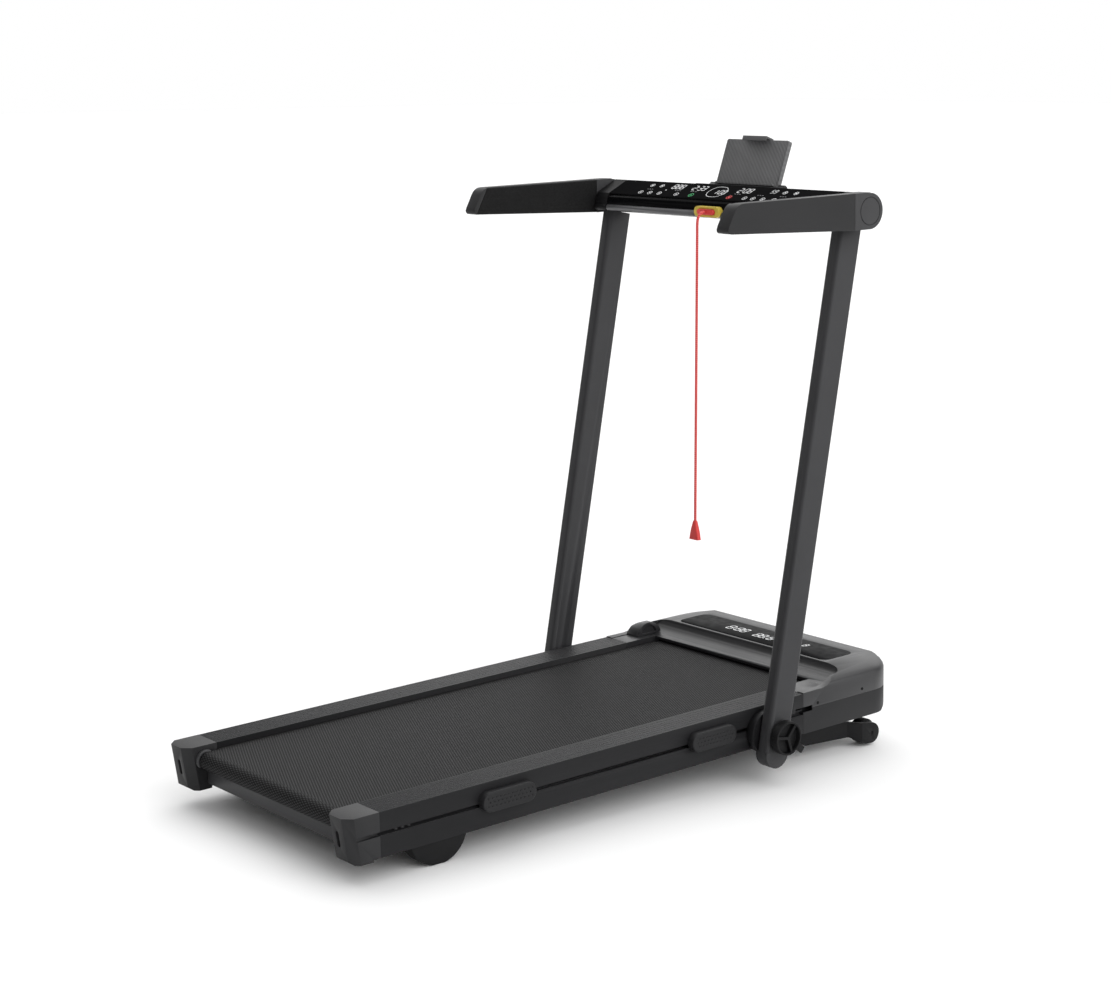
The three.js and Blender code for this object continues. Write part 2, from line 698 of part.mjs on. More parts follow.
// The hollow cove between the belt and the crest, with rounded ends.
function coveCut(drop) {
  const half = RAIL_OUT - COVE_END_INSET;
  const rise = COVER_TOP + PAST;
  const run = COVER_CREST_Y - COVER_REAR_Y;
  const points = [[RAIL_FRONT - PAST, -drop], [COVER_REAR_Y, -drop]];
  for (let i = 1; i <= 7; i += 1) {
    const angle = (Math.PI / 2) * (i / 7);
    points.push([COVER_REAR_Y + run * Math.sin(angle), -drop + rise * (1 - Math.cos(angle))]);
  }
  points.push([COVER_CREST_Y, COVER_TOP + 20], [RAIL_FRONT - PAST, COVER_TOP + 20]);
  const sweep = alongX(outline(points), -half, half);
  const plan = alongZ(
    roundedRect(-half, half, RAIL_FRONT - 60, COVER_CREST_Y, 30), -drop - PAST, COVER_TOP + 30,
  );
  return sweep.intersect(plan);
}

const WINDOW = {
  x0: -WINDOW_SIZE[0] / 2,
  x1: WINDOW_SIZE[0] / 2,
  y0: COVER_CREST_Y + 6,
  y1: COVER_CREST_Y + 6 + WINDOW_SIZE[1],
};
const GRIP = {
  inner: -RAIL_IN - 17,
  outer: -RAIL_IN - 53,
  y: COVER_REAR_Y - 3,
  chord: 71,
  height: 28,
};

// The mouth in the rear walls where the belt runs in and out.
function beltMouth() {
  const half = BELT_WIDTH / 2 + 4;
  return box(
    -half, half, COVER_REAR_Y - PAST, COVER_REAR_Y + COVER_WALL + PAST, BELT_RETURN - 4, BELT_TOP + 4,
  );
}

function coverOuter() {
  return cut(shoulderedBlock(0, COVER_SEAM + GAP), cheekCut(0), coveCut(0));
}

function motorCover() {
  const inner = cut(
    shoulderedBlock(COVER_WALL, COVER_SEAM - PAST),
    cheekCut(COVER_WALL).translate([0, COVER_WALL, 0]),
    coveCut(COVER_WALL).translate([0, COVER_WALL, 0]),
  );
  const window = alongZ(
    roundedRect(WINDOW.x0 - GAP, WINDOW.x1 + GAP, WINDOW.y0 - GAP, WINDOW.y1 + GAP, WINDOW_CORNER),
    COVER_TOP - WINDOW_THICK, COVER_TOP + PAST,
  );
  const notch = box(
    RAIL_OUT - COVER_WALL - PAST, RAIL_OUT + PAST, RAIL_FRONT - PAST, RAIL_FRONT + NOTCH.past,
    COVER_SEAM - PAST, NOTCH.top,
  );
  return cut(coverOuter(), inner, beltMouth(), window, notch, mirrored(notch));
}

place('motor_cover', motorCover(), FINISH.cover);
place(
  'display_window',
  alongZ(
    roundedRect(WINDOW.x0, WINDOW.x1, WINDOW.y0, WINDOW.y1, WINDOW_CORNER - GAP),
    COVER_TOP - WINDOW_THICK + GAP, COVER_TOP + GAP,
  ),
  FINISH.gloss,
);

// Openings in the pan's front wall for the power inlet and its switch, as [x0, x1, z0, z1].
function frontOpening(x, z, width, height) {
  return { x, z, opening: [x - width / 2, x + width / 2, z - height / 2, z + height / 2] };
}

const INLET = frontOpening(COVER_CORNER + 15 - RAIL_OUT, -51, 30, 22);
const ROCKER = frontOpening(COVER_CORNER + 56 - RAIL_OUT, -52, 24, 20);
const FRONT_WALL_REAR = DECK_LENGTH - 10;

// The base pan closes the motor end from below; its front edge sweeps up.
function basePan() {
  const outer = alongZ(coverPlan(0), PAN_BOTTOM, COVER_SEAM);
  const inner = alongZ(coverPlan(COVER_WALL), PAN_BOTTOM + COVER_WALL, COVER_SEAM + PAST);
  const chin = (lift) => alongX(
    outline([
      [DECK_LENGTH - PAN_SWEEP, PAN_BOTTOM - 10],
      [DECK_LENGTH - PAN_SWEEP, PAN_BOTTOM + lift],
      [DECK_LENGTH + PAST, PAN_BOTTOM + PAN_RISE + lift],
      [DECK_LENGTH + PAST, PAN_BOTTOM - 10],
    ]),
    -RAIL_OUT - PAST, RAIL_OUT + PAST,
  );
  const notch = box(
    RAIL_OUT - COVER_WALL - PAST, RAIL_OUT + PAST, RAIL_FRONT - PAST, RAIL_FRONT + NOTCH.past,
    NOTCH.bottom, COVER_SEAM + PAST,
  );
  const shell = cut(outer, cut(inner, chin(COVER_WALL)), chin(0), notch, mirrored(notch));
  const inlet = alongY(roundedRect(...INLET.opening, 3), FRONT_WALL_REAR, DECK_LENGTH + PAST, 3);
  const rocker = alongY(roundedRect(...ROCKER.opening, 2), FRONT_WALL_REAR, DECK_LENGTH + PAST, 3);
  return cut(shell, beltMouth(), inlet, rocker);
}

place('base_pan', basePan(), FINISH.moulding);

// A half-moon grip stands on the left rail beside the cover's cheek. It falls away outward and has
// a finger recess in its inner face.
function liftGrip() {
  const { inner, outer, y, chord, height } = GRIP;
  const radius = ((chord / 2) ** 2 + height ** 2) / (2 * height);
  const centre = height - radius;
  const spread = THREE.MathUtils.radToDeg(Math.asin(chord / 2 / radius));
  const arch = outline(arcPoints(y, centre + GAP, radius, 90 - spread, 90 + spread, 16));
  const dome = alongX(arch, outer, inner);
  const fall = alongY(
    outline([
      [inner + PAST, 0], [inner + PAST, height + PAST], [inner - 14, height + PAST], [inner - 24, height - 3],
      [inner - 32, height - 9], [outer - PAST, 0],
    ]),
    y - chord, y + chord,
  );
  const recess = rod(radius * 0.6, inner - 4, inner + PAST, y, 0, 24);
  const finger = recess.intersect(box(outer, inner + PAST, y - chord, y + chord, 5, height));
  const cover = coverOuter();
  const body = cut(dome.intersect(fall), finger);
  return cut(body, cover, cover.translate([0, 0, GAP]), cover.translate([0, -GAP, 0]));
}

place('lift_grip', liftGrip(), FINISH.cover);

function powerInlet() {
  const [x0, x1, z0, z1] = INLET.opening;
  const flange = alongY(
    roundedRect(x0 - 3, x1 + 3, z0 - 3, z1 + 3, 4), DECK_LENGTH + GAP, DECK_LENGTH + 2.3, 3,
  );
  const socket = alongY(
    roundedRect(x0 + GAP, x1 - GAP, z0 + GAP, z1 - GAP, 3), DECK_LENGTH - 22, DECK_LENGTH + 1, 3,
  );
  const well = alongY(roundedRect(x0 + 3, x1 - 3, z0 + 3, z1 - 3, 2), DECK_LENGTH - 18, DECK_LENGTH + 4, 3);
  const pins = [-7, 0, 7].map((dx) => box(
    INLET.x + dx - 1, INLET.x + dx + 1, DECK_LENGTH - 19, DECK_LENGTH - 4, INLET.z - 2, INLET.z + 2,
  ));
  return join(cut(join(flange, socket), well), ...pins);
}

place('power_inlet', powerInlet(), FINISH.rubber);

// The rocker tips in the pan's opening beside the inlet.
function powerSwitch() {
  const [x0, x1, z0, z1] = ROCKER.opening;
  return alongX(
    outline([
      [DECK_LENGTH - 6, z0 + 2],
      [DECK_LENGTH + 2.2, z0 + 2],
      [DECK_LENGTH - 0.2, ROCKER.z],
      [DECK_LENGTH - 1, z1 - 2],
      [DECK_LENGTH - 6, z1 - 2],
    ]),
    x0 + 1, x1 - 1,
  );
}

place('power_switch', powerSwitch(), FINISH.red);

// ---------------------------------------------------------------- feet, wheels and side pads

// A half-moon foot: its round edge has one flat that rests on the floor.
function rearFoot() {
  const flatAngle = THREE.MathUtils.radToDeg(Math.asin(FOOT_FLAT / 2 / FOOT_RADIUS));
  const drop = FOOT_RADIUS * Math.cos(Math.asin(FOOT_FLAT / 2 / FOOT_RADIUS));
  const centreZ = heightOverFloor(FOOT_Y, drop);
  const down = -90 - THREE.MathUtils.radToDeg(DECK_SLOPE);
  const edge = [
    ...arcPoints(FOOT_Y, centreZ, FOOT_RADIUS, -175, down - flatAngle, 10),
    ...arcPoints(FOOT_Y, centreZ, FOOT_RADIUS, down + flatAngle, -5, 10),
  ];
  const disc = alongX(outline(edge), RAIL_OUT - FOOT_INSET - FOOT_WIDTH, RAIL_OUT - FOOT_INSET);
  const above = box(
    0, RAIL_OUT, FOOT_Y - 2 * FOOT_RADIUS, FOOT_Y + 2 * FOOT_RADIUS, RAIL_BOTTOM - GAP, 0,
  );
  return cut(disc, above);
}

placePair('rear_foot', rearFoot(), FINISH.moulding);

const WHEEL_Z = heightOverFloor(WHEEL_Y, WHEEL_RADIUS);
const WHEEL_OUT = RAIL_OUT - WHEEL_INSET;
const ARM_OUT = WHEEL_OUT + 4 + ARM_WIDTH;

// The arm hangs under the pan and steps outward to carry the wheel on its inner side.
function wheelArm() {
  const side = outline([
    [ARM_REAR_Y, PAN_BOTTOM - GAP],
    [ARM_REAR_Y, WHEEL_Z + 16],
    [ARM_REAR_Y + 17, WHEEL_Z + 6],
    [WHEEL_Y - 50, WHEEL_Z - 3],
    [WHEEL_Y - 18, WHEEL_Z - 20],
    ...arcPoints(WHEEL_Y, WHEEL_Z, 22, -100, 90, 10),
    [WHEEL_Y - 28, WHEEL_Z + ARM_HEIGHT - 8],
    [WHEEL_Y - 86, PAN_BOTTOM - 8],
    [WHEEL_Y - 96, PAN_BOTTOM - GAP],
  ]);
  const inner = WHEEL_OUT - 18;
  const jogStart = WHEEL_Y - 56;
  const jogEnd = WHEEL_Y - WHEEL_RADIUS - 3;
  const plan = outline([
    [inner, ARM_REAR_Y - PAST],
    [inner + 18, ARM_REAR_Y - PAST],
    [inner + 18, jogStart],
    [ARM_OUT, jogEnd],
    [ARM_OUT, WHEEL_Y + 2 * WHEEL_RADIUS],
    [WHEEL_OUT + 4, WHEEL_Y + 2 * WHEEL_RADIUS],
    [WHEEL_OUT + 4, jogEnd],
    [inner, jogStart],
  ]);
  const silhouette = alongX(side, inner, ARM_OUT);
  const body = silhouette.intersect(alongZ(plan, -250, PAN_BOTTOM));
  const axle = rod(WHEEL_PIN_RADIUS, WHEEL_OUT - WHEEL_WIDTH - 3, WHEEL_OUT + 6, WHEEL_Y, WHEEL_Z, 16);
  const axleHead = rod(
    WHEEL_PIN_RADIUS + 3, WHEEL_OUT - WHEEL_WIDTH - 4, WHEEL_OUT - WHEEL_WIDTH - 1, WHEEL_Y, WHEEL_Z, 16,
  );
  const pinMark = rod(WHEEL_PIN_RADIUS, ARM_OUT - 2, ARM_OUT + PAST, WHEEL_Y, WHEEL_Z, 16);
  return cut(join(body, axle, axleHead), pinMark);
}

placePair('wheel_arm', wheelArm(), FINISH.moulding);
placePair(
  'transport_wheel',
  ring(WHEEL_RADIUS, WHEEL_PIN_RADIUS + RUN_FIT, WHEEL_OUT - WHEEL_WIDTH, WHEEL_OUT, WHEEL_Y, WHEEL_Z, 32),
  FINISH.rubber,
);

const PAD_PLACES = {
  rear: [FOOT_Y + 85, FOOT_Y + 208],
  front: [FOLD_AXIS.y - 200, FOLD_AXIS.y - 83],
};
const PAD_HEIGHT = 38;
const PAD_Z = -34;

function sidePad([y0, y1]) {
  const stadium = (inset) => roundedRect(
    y0 + inset, y1 - inset, PAD_Z - PAD_HEIGHT / 2 + inset, PAD_Z + PAD_HEIGHT / 2 - inset,
    PAD_HEIGHT / 2 - inset - ROUND_END,
  );
  const face = RAIL_OUT + GAP + 16;
  return join(alongX(stadium(0), RAIL_OUT + GAP, face - 2, 5), alongX(stadium(2), face - 3, face, 5));
}

placePair('side_pad_rear', sidePad(PAD_PLACES.rear), FINISH.rubber);
placePair('side_pad_front', sidePad(PAD_PLACES.front), FINISH.rubber);

// ---------------------------------------------------------------- uprights and fold pivots

// A flange bolted to the rail, with the pin that the upright turns on.
placePair(
  'fold_pivot',
  join(
    rod(FLANGE_RADIUS, RAIL_OUT + GAP, FLANGE_OUT, FOLD_AXIS.y, FOLD_AXIS.z, 28),
    rod(PIVOT_PIN_RADIUS, RAIL_OUT - 8, UPRIGHT_OUT - UPRIGHT_WALL, FOLD_AXIS.y, FOLD_AXIS.z),
  ),
  FINISH.darkSteel,
);

// Uprights are made standing on the fold axis, then leaned forward.
const uprights = new THREE.Group();
uprights.position.set(0, FOLD_AXIS.y, FOLD_AXIS.z);
uprights.rotation.x = -UPRIGHT_LEAN;
treadmill.add(uprights);

const UPRIGHT_TOP = UPRIGHT_LENGTH - BARREL_RADIUS - GAP;

function uprightTube() {
  const half = UPRIGHT_DEPTH / 2;
  const wall = UPRIGHT_WALL;
  const section = roundedRect(UPRIGHT_IN, UPRIGHT_OUT, -half, half, UPRIGHT_CORNER);
  section.holes.push(roundedRect(
    UPRIGHT_IN + wall, UPRIGHT_OUT - wall, -half + wall, half - wall, UPRIGHT_CORNER - wall,
  ));
  const pinHole = rod(PIVOT_PIN_RADIUS + RUN_FIT, UPRIGHT_IN - PAST, UPRIGHT_OUT - wall + GAP, 0, 0);
  return cut(alongZ(section, -UPRIGHT_TAIL, UPRIGHT_TOP, 4), pinHole);
}

// The tube's lower end is closed by a round plug welded into it.
function uprightWithEnd() {
  const half = UPRIGHT_DEPTH / 2;
  const round = alongX(
    outline(arcPoints(0, -UPRIGHT_TAIL + PAST, half, -180, 0, 14)), UPRIGHT_IN, UPRIGHT_OUT,
  );
  return join(uprightTube(), round);
}

placePair('upright', uprightWithEnd(), FINISH.upright, uprights);

// ---------------------------------------------------------------- console section

// Corners of the console's side profile, in (Y, Z) from the head axis.
const PANEL_REAR = [-43, 9];
const PANEL_CREST = [9, 33.8];
const BROW_TOP = [-47.5, 1]; // where the console's rear face turns from the panel's edge
const BROW_FOOT_Y = -49;
const BAR = { y0: -55, y1: -39, top: -15, bottom: -15 - BAR_HEIGHT };
const PANEL_ANGLE = Math.atan2(PANEL_CREST[1] - PANEL_REAR[1], PANEL_CREST[0] - PANEL_REAR[0]);
const CREST_DEG = THREE.MathUtils.radToDeg(Math.atan2(PANEL_CREST[1], PANEL_CREST[0]));

function belowPanel([y, z], depth) {
  return [y + depth * Math.sin(PANEL_ANGLE), z - depth * Math.cos(PANEL_ANGLE)];
}

function consoleOutline(topDrop) {
  return [
    belowPanel(PANEL_REAR, topDrop),
    BROW_TOP,
    [BROW_FOOT_Y, BROW_TOP[1] - 5],
    [BROW_FOOT_Y, BAR.top + GAP],
    [BAR.y1 + GAP, BAR.top + GAP],
    [BAR.y1 + GAP, BAR.bottom],
    ...arcPoints(0, 0, BARREL_RADIUS, -97, CREST_DEG, 20),
    belowPanel(PANEL_CREST, topDrop),
  ];
}

function barOutline() {
  const radius = BAR_HEIGHT / 2 - ROUND_END;
  return [
    [BAR.y1, BAR.top],
    ...arcPoints(BAR.y0 + radius, BAR.top - radius, radius, 90, 180, 6),
    ...arcPoints(BAR.y0 + radius, BAR.bottom + radius, radius, 180, 270, 6),
    [BAR.y1, BAR.bottom],
  ];
}

const consoleGroup = new THREE.Group();
consoleGroup.position.set(0, HEAD_AXIS.y, HEAD_AXIS.z);
treadmill.add(consoleGroup);

// Each upright ends in a head that carries the console's section on to its outer side.
function uprightHead() {
  const section = outline(consoleOutline(0));
  const body = join(alongX(section, HEAD_IN, HEAD_OUT), alongX(outline(barOutline()), HEAD_IN, HEAD_OUT - 3));
  const link = box(HEAD_IN, HEAD_OUT - 3, BAR.y1 - 2, BAR.y1 + 2, BAR.bottom + 1, BAR.top - 1);
  return cut(join(body, link), rod(SHAFT_RADIUS + GAP, HEAD_IN - PAST, HEAD_OUT + PAST, 0, 0));
}

placePair('upright_head', uprightHead(), FINISH.housing, consoleGroup);
place(
  'console_shaft',
  rod(SHAFT_RADIUS, -HANDRAIL_IN - 14, HANDRAIL_IN + 14, 0, 0),
  FINISH.steel,
  consoleGroup,
);

const KEY_Z = -16;
const BOARD_POCKET = { depth: 9, half: 300 };

function consoleShell() {
  const body = alongX(outline(consoleOutline(PANEL_THICK + GAP)), -CONSOLE_HALF, CONSOLE_HALF);
  const bore = rod(SHAFT_RADIUS + RUN_FIT, -CONSOLE_HALF - PAST, CONSOLE_HALF + PAST, 0, 0);
  const pocketOutline = outline([
    belowPanel([-36, PANEL_REAR[1] + 3.5], 0),
    belowPanel([-36, PANEL_REAR[1] + 3.5], BOARD_POCKET.depth),
    belowPanel([0, PANEL_CREST[1] - 4.3], BOARD_POCKET.depth),
    belowPanel([0, PANEL_CREST[1] - 4.3], 0),
  ]);
  const pocket = alongX(pocketOutline, -BOARD_POCKET.half, BOARD_POCKET.half);
  return cut(body, bore, pocket, keyPocket());
}

function keyPocket() {
  const [width, height] = KEY_RING;
  return alongY(
    roundedRect(
      -width / 2 - GAP, width / 2 + GAP, KEY_Z - height / 2 - GAP, KEY_Z + height / 2 + GAP, height / 2,
    ),
    BAR.y0 - 12, BAR.y0 + KEY_DEPTH + 4,
  );
}

place('console_shell', consoleShell(), FINISH.gloss, consoleGroup);
place(
  'console_bar',
  cut(alongX(outline(barOutline()), -CONSOLE_HALF, CONSOLE_HALF), keyPocket()),
  FINISH.bar,
  consoleGroup,
);

function panelSlab(depth, thick, half, margin) {
  const along = [Math.cos(PANEL_ANGLE) * margin, Math.sin(PANEL_ANGLE) * margin];
  const rear = [PANEL_REAR[0] + along[0], PANEL_REAR[1] + along[1]];
  const crest = [PANEL_CREST[0] - along[0], PANEL_CREST[1] - along[1]];
  return alongX(
    outline([
      belowPanel(rear, depth), belowPanel(rear, depth + thick), belowPanel(crest, depth + thick),
      belowPanel(crest, depth),
    ]),
    -half, half,
  );
}

place('console_panel', panelSlab(0, PANEL_THICK, CONSOLE_HALF, 0), FINISH.gloss, consoleGroup);

// ---------------------------------------------------------------- safety key

function keySocket() {
  const [width, height] = KEY_RING;
  const [keyWidth, keyHeight] = KEY_SIZE;
  const fit = RUN_FIT;
  const outer = alongY(
    roundedRect(-width / 2, width / 2, KEY_Z - height / 2, KEY_Z + height / 2, height / 2 - ROUND_END),
    BAR.y0 - 6, BAR.y0 + KEY_DEPTH + 3,
  );
  const well = alongY(
    roundedRect(
      -keyWidth / 2 - fit, keyWidth / 2 + fit,
      KEY_Z - keyHeight / 2 - fit, KEY_Z + keyHeight / 2 + fit,
      keyHeight / 2,
    ),
    BAR.y0 - 6 - PAST, BAR.y0 + KEY_DEPTH,
  );
  return cut(outer, well);
}

function safetyKey() {
  const [width, height] = KEY_SIZE;
  return alongY(
    roundedRect(-width / 2, width / 2, KEY_Z - height / 2, KEY_Z + height / 2, height / 2 - ROUND_END),
    BAR.y0 - 6 - KEY_PROUD, BAR.y0 + KEY_DEPTH - RUN_FIT,
  );
}

place('key_socket', keySocket(), FINISH.yellow, consoleGroup);
place('safety_key', safetyKey(), FINISH.red, consoleGroup);

// The cord leaves the key's underside edge, turns down and hangs plumb to its clothes clip.
const CORD_EXIT_Y = BAR.y0 - 6 - KEY_PROUD - GAP;
const CORD_ROUTE = [
  [0, CORD_EXIT_Y, KEY_Z],
  [0, CORD_EXIT_Y - 6, KEY_Z - 0.5],
  [0, CORD_EXIT_Y - 12, KEY_Z - 3],
  [0, CORD_EXIT_Y - 16.5, KEY_Z - 8],
  [0, CORD_EXIT_Y - 19, KEY_Z - 15],
  [0, CORD_EXIT_Y - 20, KEY_Z - 24],
  [0, CORD_EXIT_Y - 20, KEY_Z - 50],
  [0, CORD_EXIT_Y - 20, KEY_Z - 120],
  [0, CORD_EXIT_Y - 20, KEY_Z - 220],
  [0, CORD_EXIT_Y - 20, KEY_Z - 340],
  [0, CORD_EXIT_Y - 20, KEY_Z - 460],
  [0, CORD_EXIT_Y - 20, KEY_Z - 560],
  [0, CORD_EXIT_Y - 20, KEY_Z - 640],
];
const CORD_STEPS = 56;

// The cord and clip hang plumb, so their group undoes the deck's slope about the cord's exit.
const hanging = new THREE.Group();
hanging.position.set(0, CORD_EXIT_Y, KEY_Z);
hanging.rotation.x = -DECK_SLOPE;
consoleGroup.add(hanging);

function safetyCord() {
  const points = CORD_ROUTE.map(([x, y, z]) => new THREE.Vector3(x, y - CORD_EXIT_Y, z - KEY_Z));
  const path = new THREE.CatmullRomCurve3(points, false, 'centripetal');
  const section = new THREE.Shape();
  for (let i = 0; i < 8; i += 1) {
    const angle = (Math.PI / 4) * i;
    const x = CORD_RADIUS * Math.cos(angle);
    const y = CORD_RADIUS * Math.sin(angle);
    if (i === 0) section.moveTo(x, y);
    else section.lineTo(x, y);
  }
  section.closePath();
  return solid(new THREE.ExtrudeGeometry(section, {
    steps: CORD_STEPS,
    extrudePath: path,
    bevelEnabled: false,
  }));
}

function cordClip() {
  const end = CORD_ROUTE[CORD_ROUTE.length - 1];
  const y = end[1] - CORD_EXIT_Y;
  const top = end[2] - KEY_Z - GAP;
  const side = outline([[-5, top], [5, top], [14, top - CORD_CLIP_HEIGHT], [-14, top - CORD_CLIP_HEIGHT]]);
  return alongY(side, y - 6, y + 6);
}

place('safety_cord', safetyCord(), FINISH.red, hanging);
place('cord_clip', cordClip(), FINISH.red, hanging);

// ---------------------------------------------------------------- handrails

const HOUSING_REAR = -42;
const DISC_RADIUS = 26; // round end disc on the housing, outlined by a seam
const DISC_SEAM = 1.5;

// Replaces each inner corner of an open outline with a short curve.
function softened(points, radii) {
  return points.flatMap((corner, i) => {
    const radius = radii[i];
    if (!radius) return [corner];
    const [before, after] = [points[i - 1], points[i + 1]].map((other) => {
      const length = Math.hypot(other[0] - corner[0], other[1] - corner[1]);
      return corner.map((value, axis) => value + ((other[axis] - value) * radius) / length);
    });
    const controls = [before, corner, after].map(([a, b]) => new THREE.Vector2(a, b));
    return new THREE.QuadraticBezierCurve(...controls).getPoints(4).map(({ x, y }) => [x, y]);
  });
}

const HANDRAIL_TIP = { drop: -14, slant: 30, corner: 16 }; // rear end, from the head axis

function railSide(inset) {
  const front = HOUSING_REAR - GAP;
  const points = [
    [front, HANDRAIL_TOP - inset],
    [-HANDRAIL_REACH + HANDRAIL_TIP.slant + inset, HANDRAIL_TOP - inset],
    [-HANDRAIL_REACH + inset, HANDRAIL_TIP.drop - 4 + inset],
    [front, -BARREL_RADIUS + inset],
  ];
  return softened(points, [0, HANDRAIL_TIP.corner, HANDRAIL_TIP.corner, 0]);
}

// The inner grip ends short of the rear tip, on a line parallel to it.
function padSpace(extra) {
  const slope = HANDRAIL_TIP.slant / (HANDRAIL_TOP - HANDRAIL_TIP.drop + 4);
  const end = (z) => -HANDRAIL_REACH + PAD_END - extra + (z - HANDRAIL_TIP.drop + 4) * slope;
  const [low, high] = [-2 * BARREL_RADIUS, 2 * BARREL_RADIUS];
  return alongX(
    outline([[end(low), low], [HOUSING_REAR, low], [HOUSING_REAR, high], [end(high), high]]),
    HANDRAIL_IN - PAST, HANDRAIL_IN + GRIP_THICK + extra,
  );
}

function handrail() {
  return cut(alongX(outline(railSide(0)), HANDRAIL_IN, HANDRAIL_OUT), padSpace(GAP));
}

function gripPad() {
  const side = outline(railSide(1));
  return alongX(side, HANDRAIL_IN, HANDRAIL_IN + GRIP_THICK).intersect(padSpace(0));
}

function railHousing() {
  const side = outline([
    ...arcPoints(0, 0, BARREL_RADIUS, -90, 90, 16),
    [0, HANDRAIL_TOP],
    [HOUSING_REAR, HANDRAIL_TOP],
    [HOUSING_REAR, -BARREL_RADIUS],
  ]);
  const body = alongX(side, HANDRAIL_IN, HANDRAIL_OUT);
  const bore = rod(SHAFT_RADIUS + RUN_FIT, HANDRAIL_IN - PAST, HANDRAIL_IN + 16, 0, 0);
  const seam = ring(DISC_RADIUS + DISC_SEAM, DISC_RADIUS, HANDRAIL_OUT - 2, HANDRAIL_OUT + PAST, 0, 0, 32);
  return cut(body, bore, seam);
}

placePair('handrail', handrail(), FINISH.upright, consoleGroup);
placePair('grip_pad', gripPad(), FINISH.leather, consoleGroup);
placePair('handrail_housing', railHousing(), FINISH.housing, consoleGroup);

// ---------------------------------------------------------------- tablet holder

const HINGE_BLOCK = 6;

function tabletBracket() {
  const side = outline([
    [12, TABLET_HINGE.z - 3],
    [TABLET_HINGE.y - 12, TABLET_HINGE.z - 12],
    [TABLET_HINGE.y + HINGE_BLOCK, TABLET_HINGE.z - HINGE_BLOCK],
    [TABLET_HINGE.y + HINGE_BLOCK, TABLET_HINGE.z + 2],
    [TABLET_HINGE.y, TABLET_HINGE.z + HINGE_BLOCK],
    [TABLET_HINGE.y - HINGE_BLOCK, TABLET_HINGE.z + 2],
    [12, TABLET_HINGE.z + 5.5],
  ]);
  const half = BRACKET_WIDTH / 2;
  const body = alongX(side, -half, half);
  const cradle = rod(BARREL_RADIUS + GAP, -half - PAST, half + PAST, 0, 0, 48);
  const between = box(
    -TABLET_WIDTH / 2 - 1, TABLET_WIDTH / 2 + 1, TABLET_HINGE.y - 20, TABLET_HINGE.y + 12,
    TABLET_HINGE.z - 9, TABLET_HINGE.z + 9,
  );
  const crestCut = alongX(
    outline([[-60, 0], [9.6, PANEL_CREST[1] - 4], [11, 60], [-60, 60]]),
    -half - PAST, half + PAST,
  );
  const pin = rod(HINGE_PIN_RADIUS, -half + 6, half - 6, TABLET_HINGE.y, TABLET_HINGE.z, 12);
  return join(cut(body, cradle, between, crestCut), pin);
}

place('tablet_bracket', tabletBracket(), FINISH.moulding, consoleGroup);
// The holder is made standing on its hinge, then leaned forward.
const holder = new THREE.Group();
holder.position.set(0, TABLET_HINGE.y, TABLET_HINGE.z);
holder.rotation.x = -TABLET_LEAN;
consoleGroup.add(holder);

const SLIDER = { half: 20, thick: 4, bottom: 34 };

function tabletPlate() {
  const half = TABLET_WIDTH / 2;
  const back = TABLET_THICK / 2;
  const plate = alongY(roundedRect(-half, half, -5, TABLET_HEIGHT, 4.5), -back, back, 3);
  const ledge = box(-half + 6, half - 6, -back - 9, -back + 1, 0, 4);
  const channel = box(
    -SLIDER.half - RUN_FIT, SLIDER.half + RUN_FIT, back - SLIDER.thick - RUN_FIT, back + PAST,
    SLIDER.bottom - 2, TABLET_HEIGHT + PAST,
  );
  const pinHole = rod(HINGE_PIN_RADIUS + RUN_FIT, -half - PAST, half + PAST, 0, 0, 12);
  return cut(join(plate, ledge), channel, pinHole);
}

function tabletClip() {
  const back = TABLET_THICK / 2;
  const slider = box(-SLIDER.half, SLIDER.half, back - SLIDER.thick, back, SLIDER.bottom, TABLET_HEIGHT + 3);
  const half = CLIP_WIDTH / 2;
  const front = -back - CLIP_REACH;
  const jaw = box(-half, half, front, back, TABLET_HEIGHT + GAP, TABLET_HEIGHT + 5);
  const lip = box(-half, half, front, front + 3, TABLET_HEIGHT - 5, TABLET_HEIGHT + 2);
  return join(slider, jaw, lip);
}

place('tablet_plate', tabletPlate(), FINISH.tablet, holder);
place('tablet_clip', tabletClip(), FINISH.housing, holder);

// ---------------------------------------------------------------- lock knob and pivot cap

// Made on the fold axis, in the uprights' leaned frame.
function lockKnob() {
  const inner = UPRIGHT_OUT + HUB_DEPTH;
  const outer = inner + KNOB_DEPTH;
  const drum = rod(KNOB_RADIUS, inner, outer, 0, 0, 32);
  const dish = rod(KNOB_RADIUS - 4, outer - 11, outer + PAST, 0, 0, 32);
  const arms = [90, 210, 330].map((angle) => {
    const arm = box(outer - 12, outer - 2, -3, 3, 0, KNOB_RADIUS - 3);
    return arm.rotate([angle, 0, 0]);
  });
  const tab = box(outer - 8, outer, -7, 7, -KNOB_RADIUS - KNOB_TAB, -KNOB_RADIUS + 3)
    .rotate([KNOB_TAB_TURN, 0, 0]);
  const hub = rod(HUB_RADIUS, UPRIGHT_OUT + GAP, inner + PAST, 0, 0, 28);
  return join(cut(drum, dish), ...arms, tab, hub);
}

place('lock_knob', lockKnob(), FINISH.moulding, uprights);
place(
  'pivot_cap',
  mirrored(rod(HUB_RADIUS, UPRIGHT_OUT + GAP, UPRIGHT_OUT + 9, 0, 0, 28)),
  FINISH.moulding,
  uprights,
);

// ---------------------------------------------------------------- stand on the floor, centred

treadmill.updateMatrixWorld(true);
const extent = new THREE.Box3().setFromObject(treadmill, true);
treadmill.position.set(0, -(extent.min.y + extent.max.y) / 2, -extent.min.z);

const group = new THREE.Group();
group.name = 'treadmill';
group.add(treadmill);

export default group;
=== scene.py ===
import json
import math

import bmesh
import bpy
from mathutils import Matrix, Vector

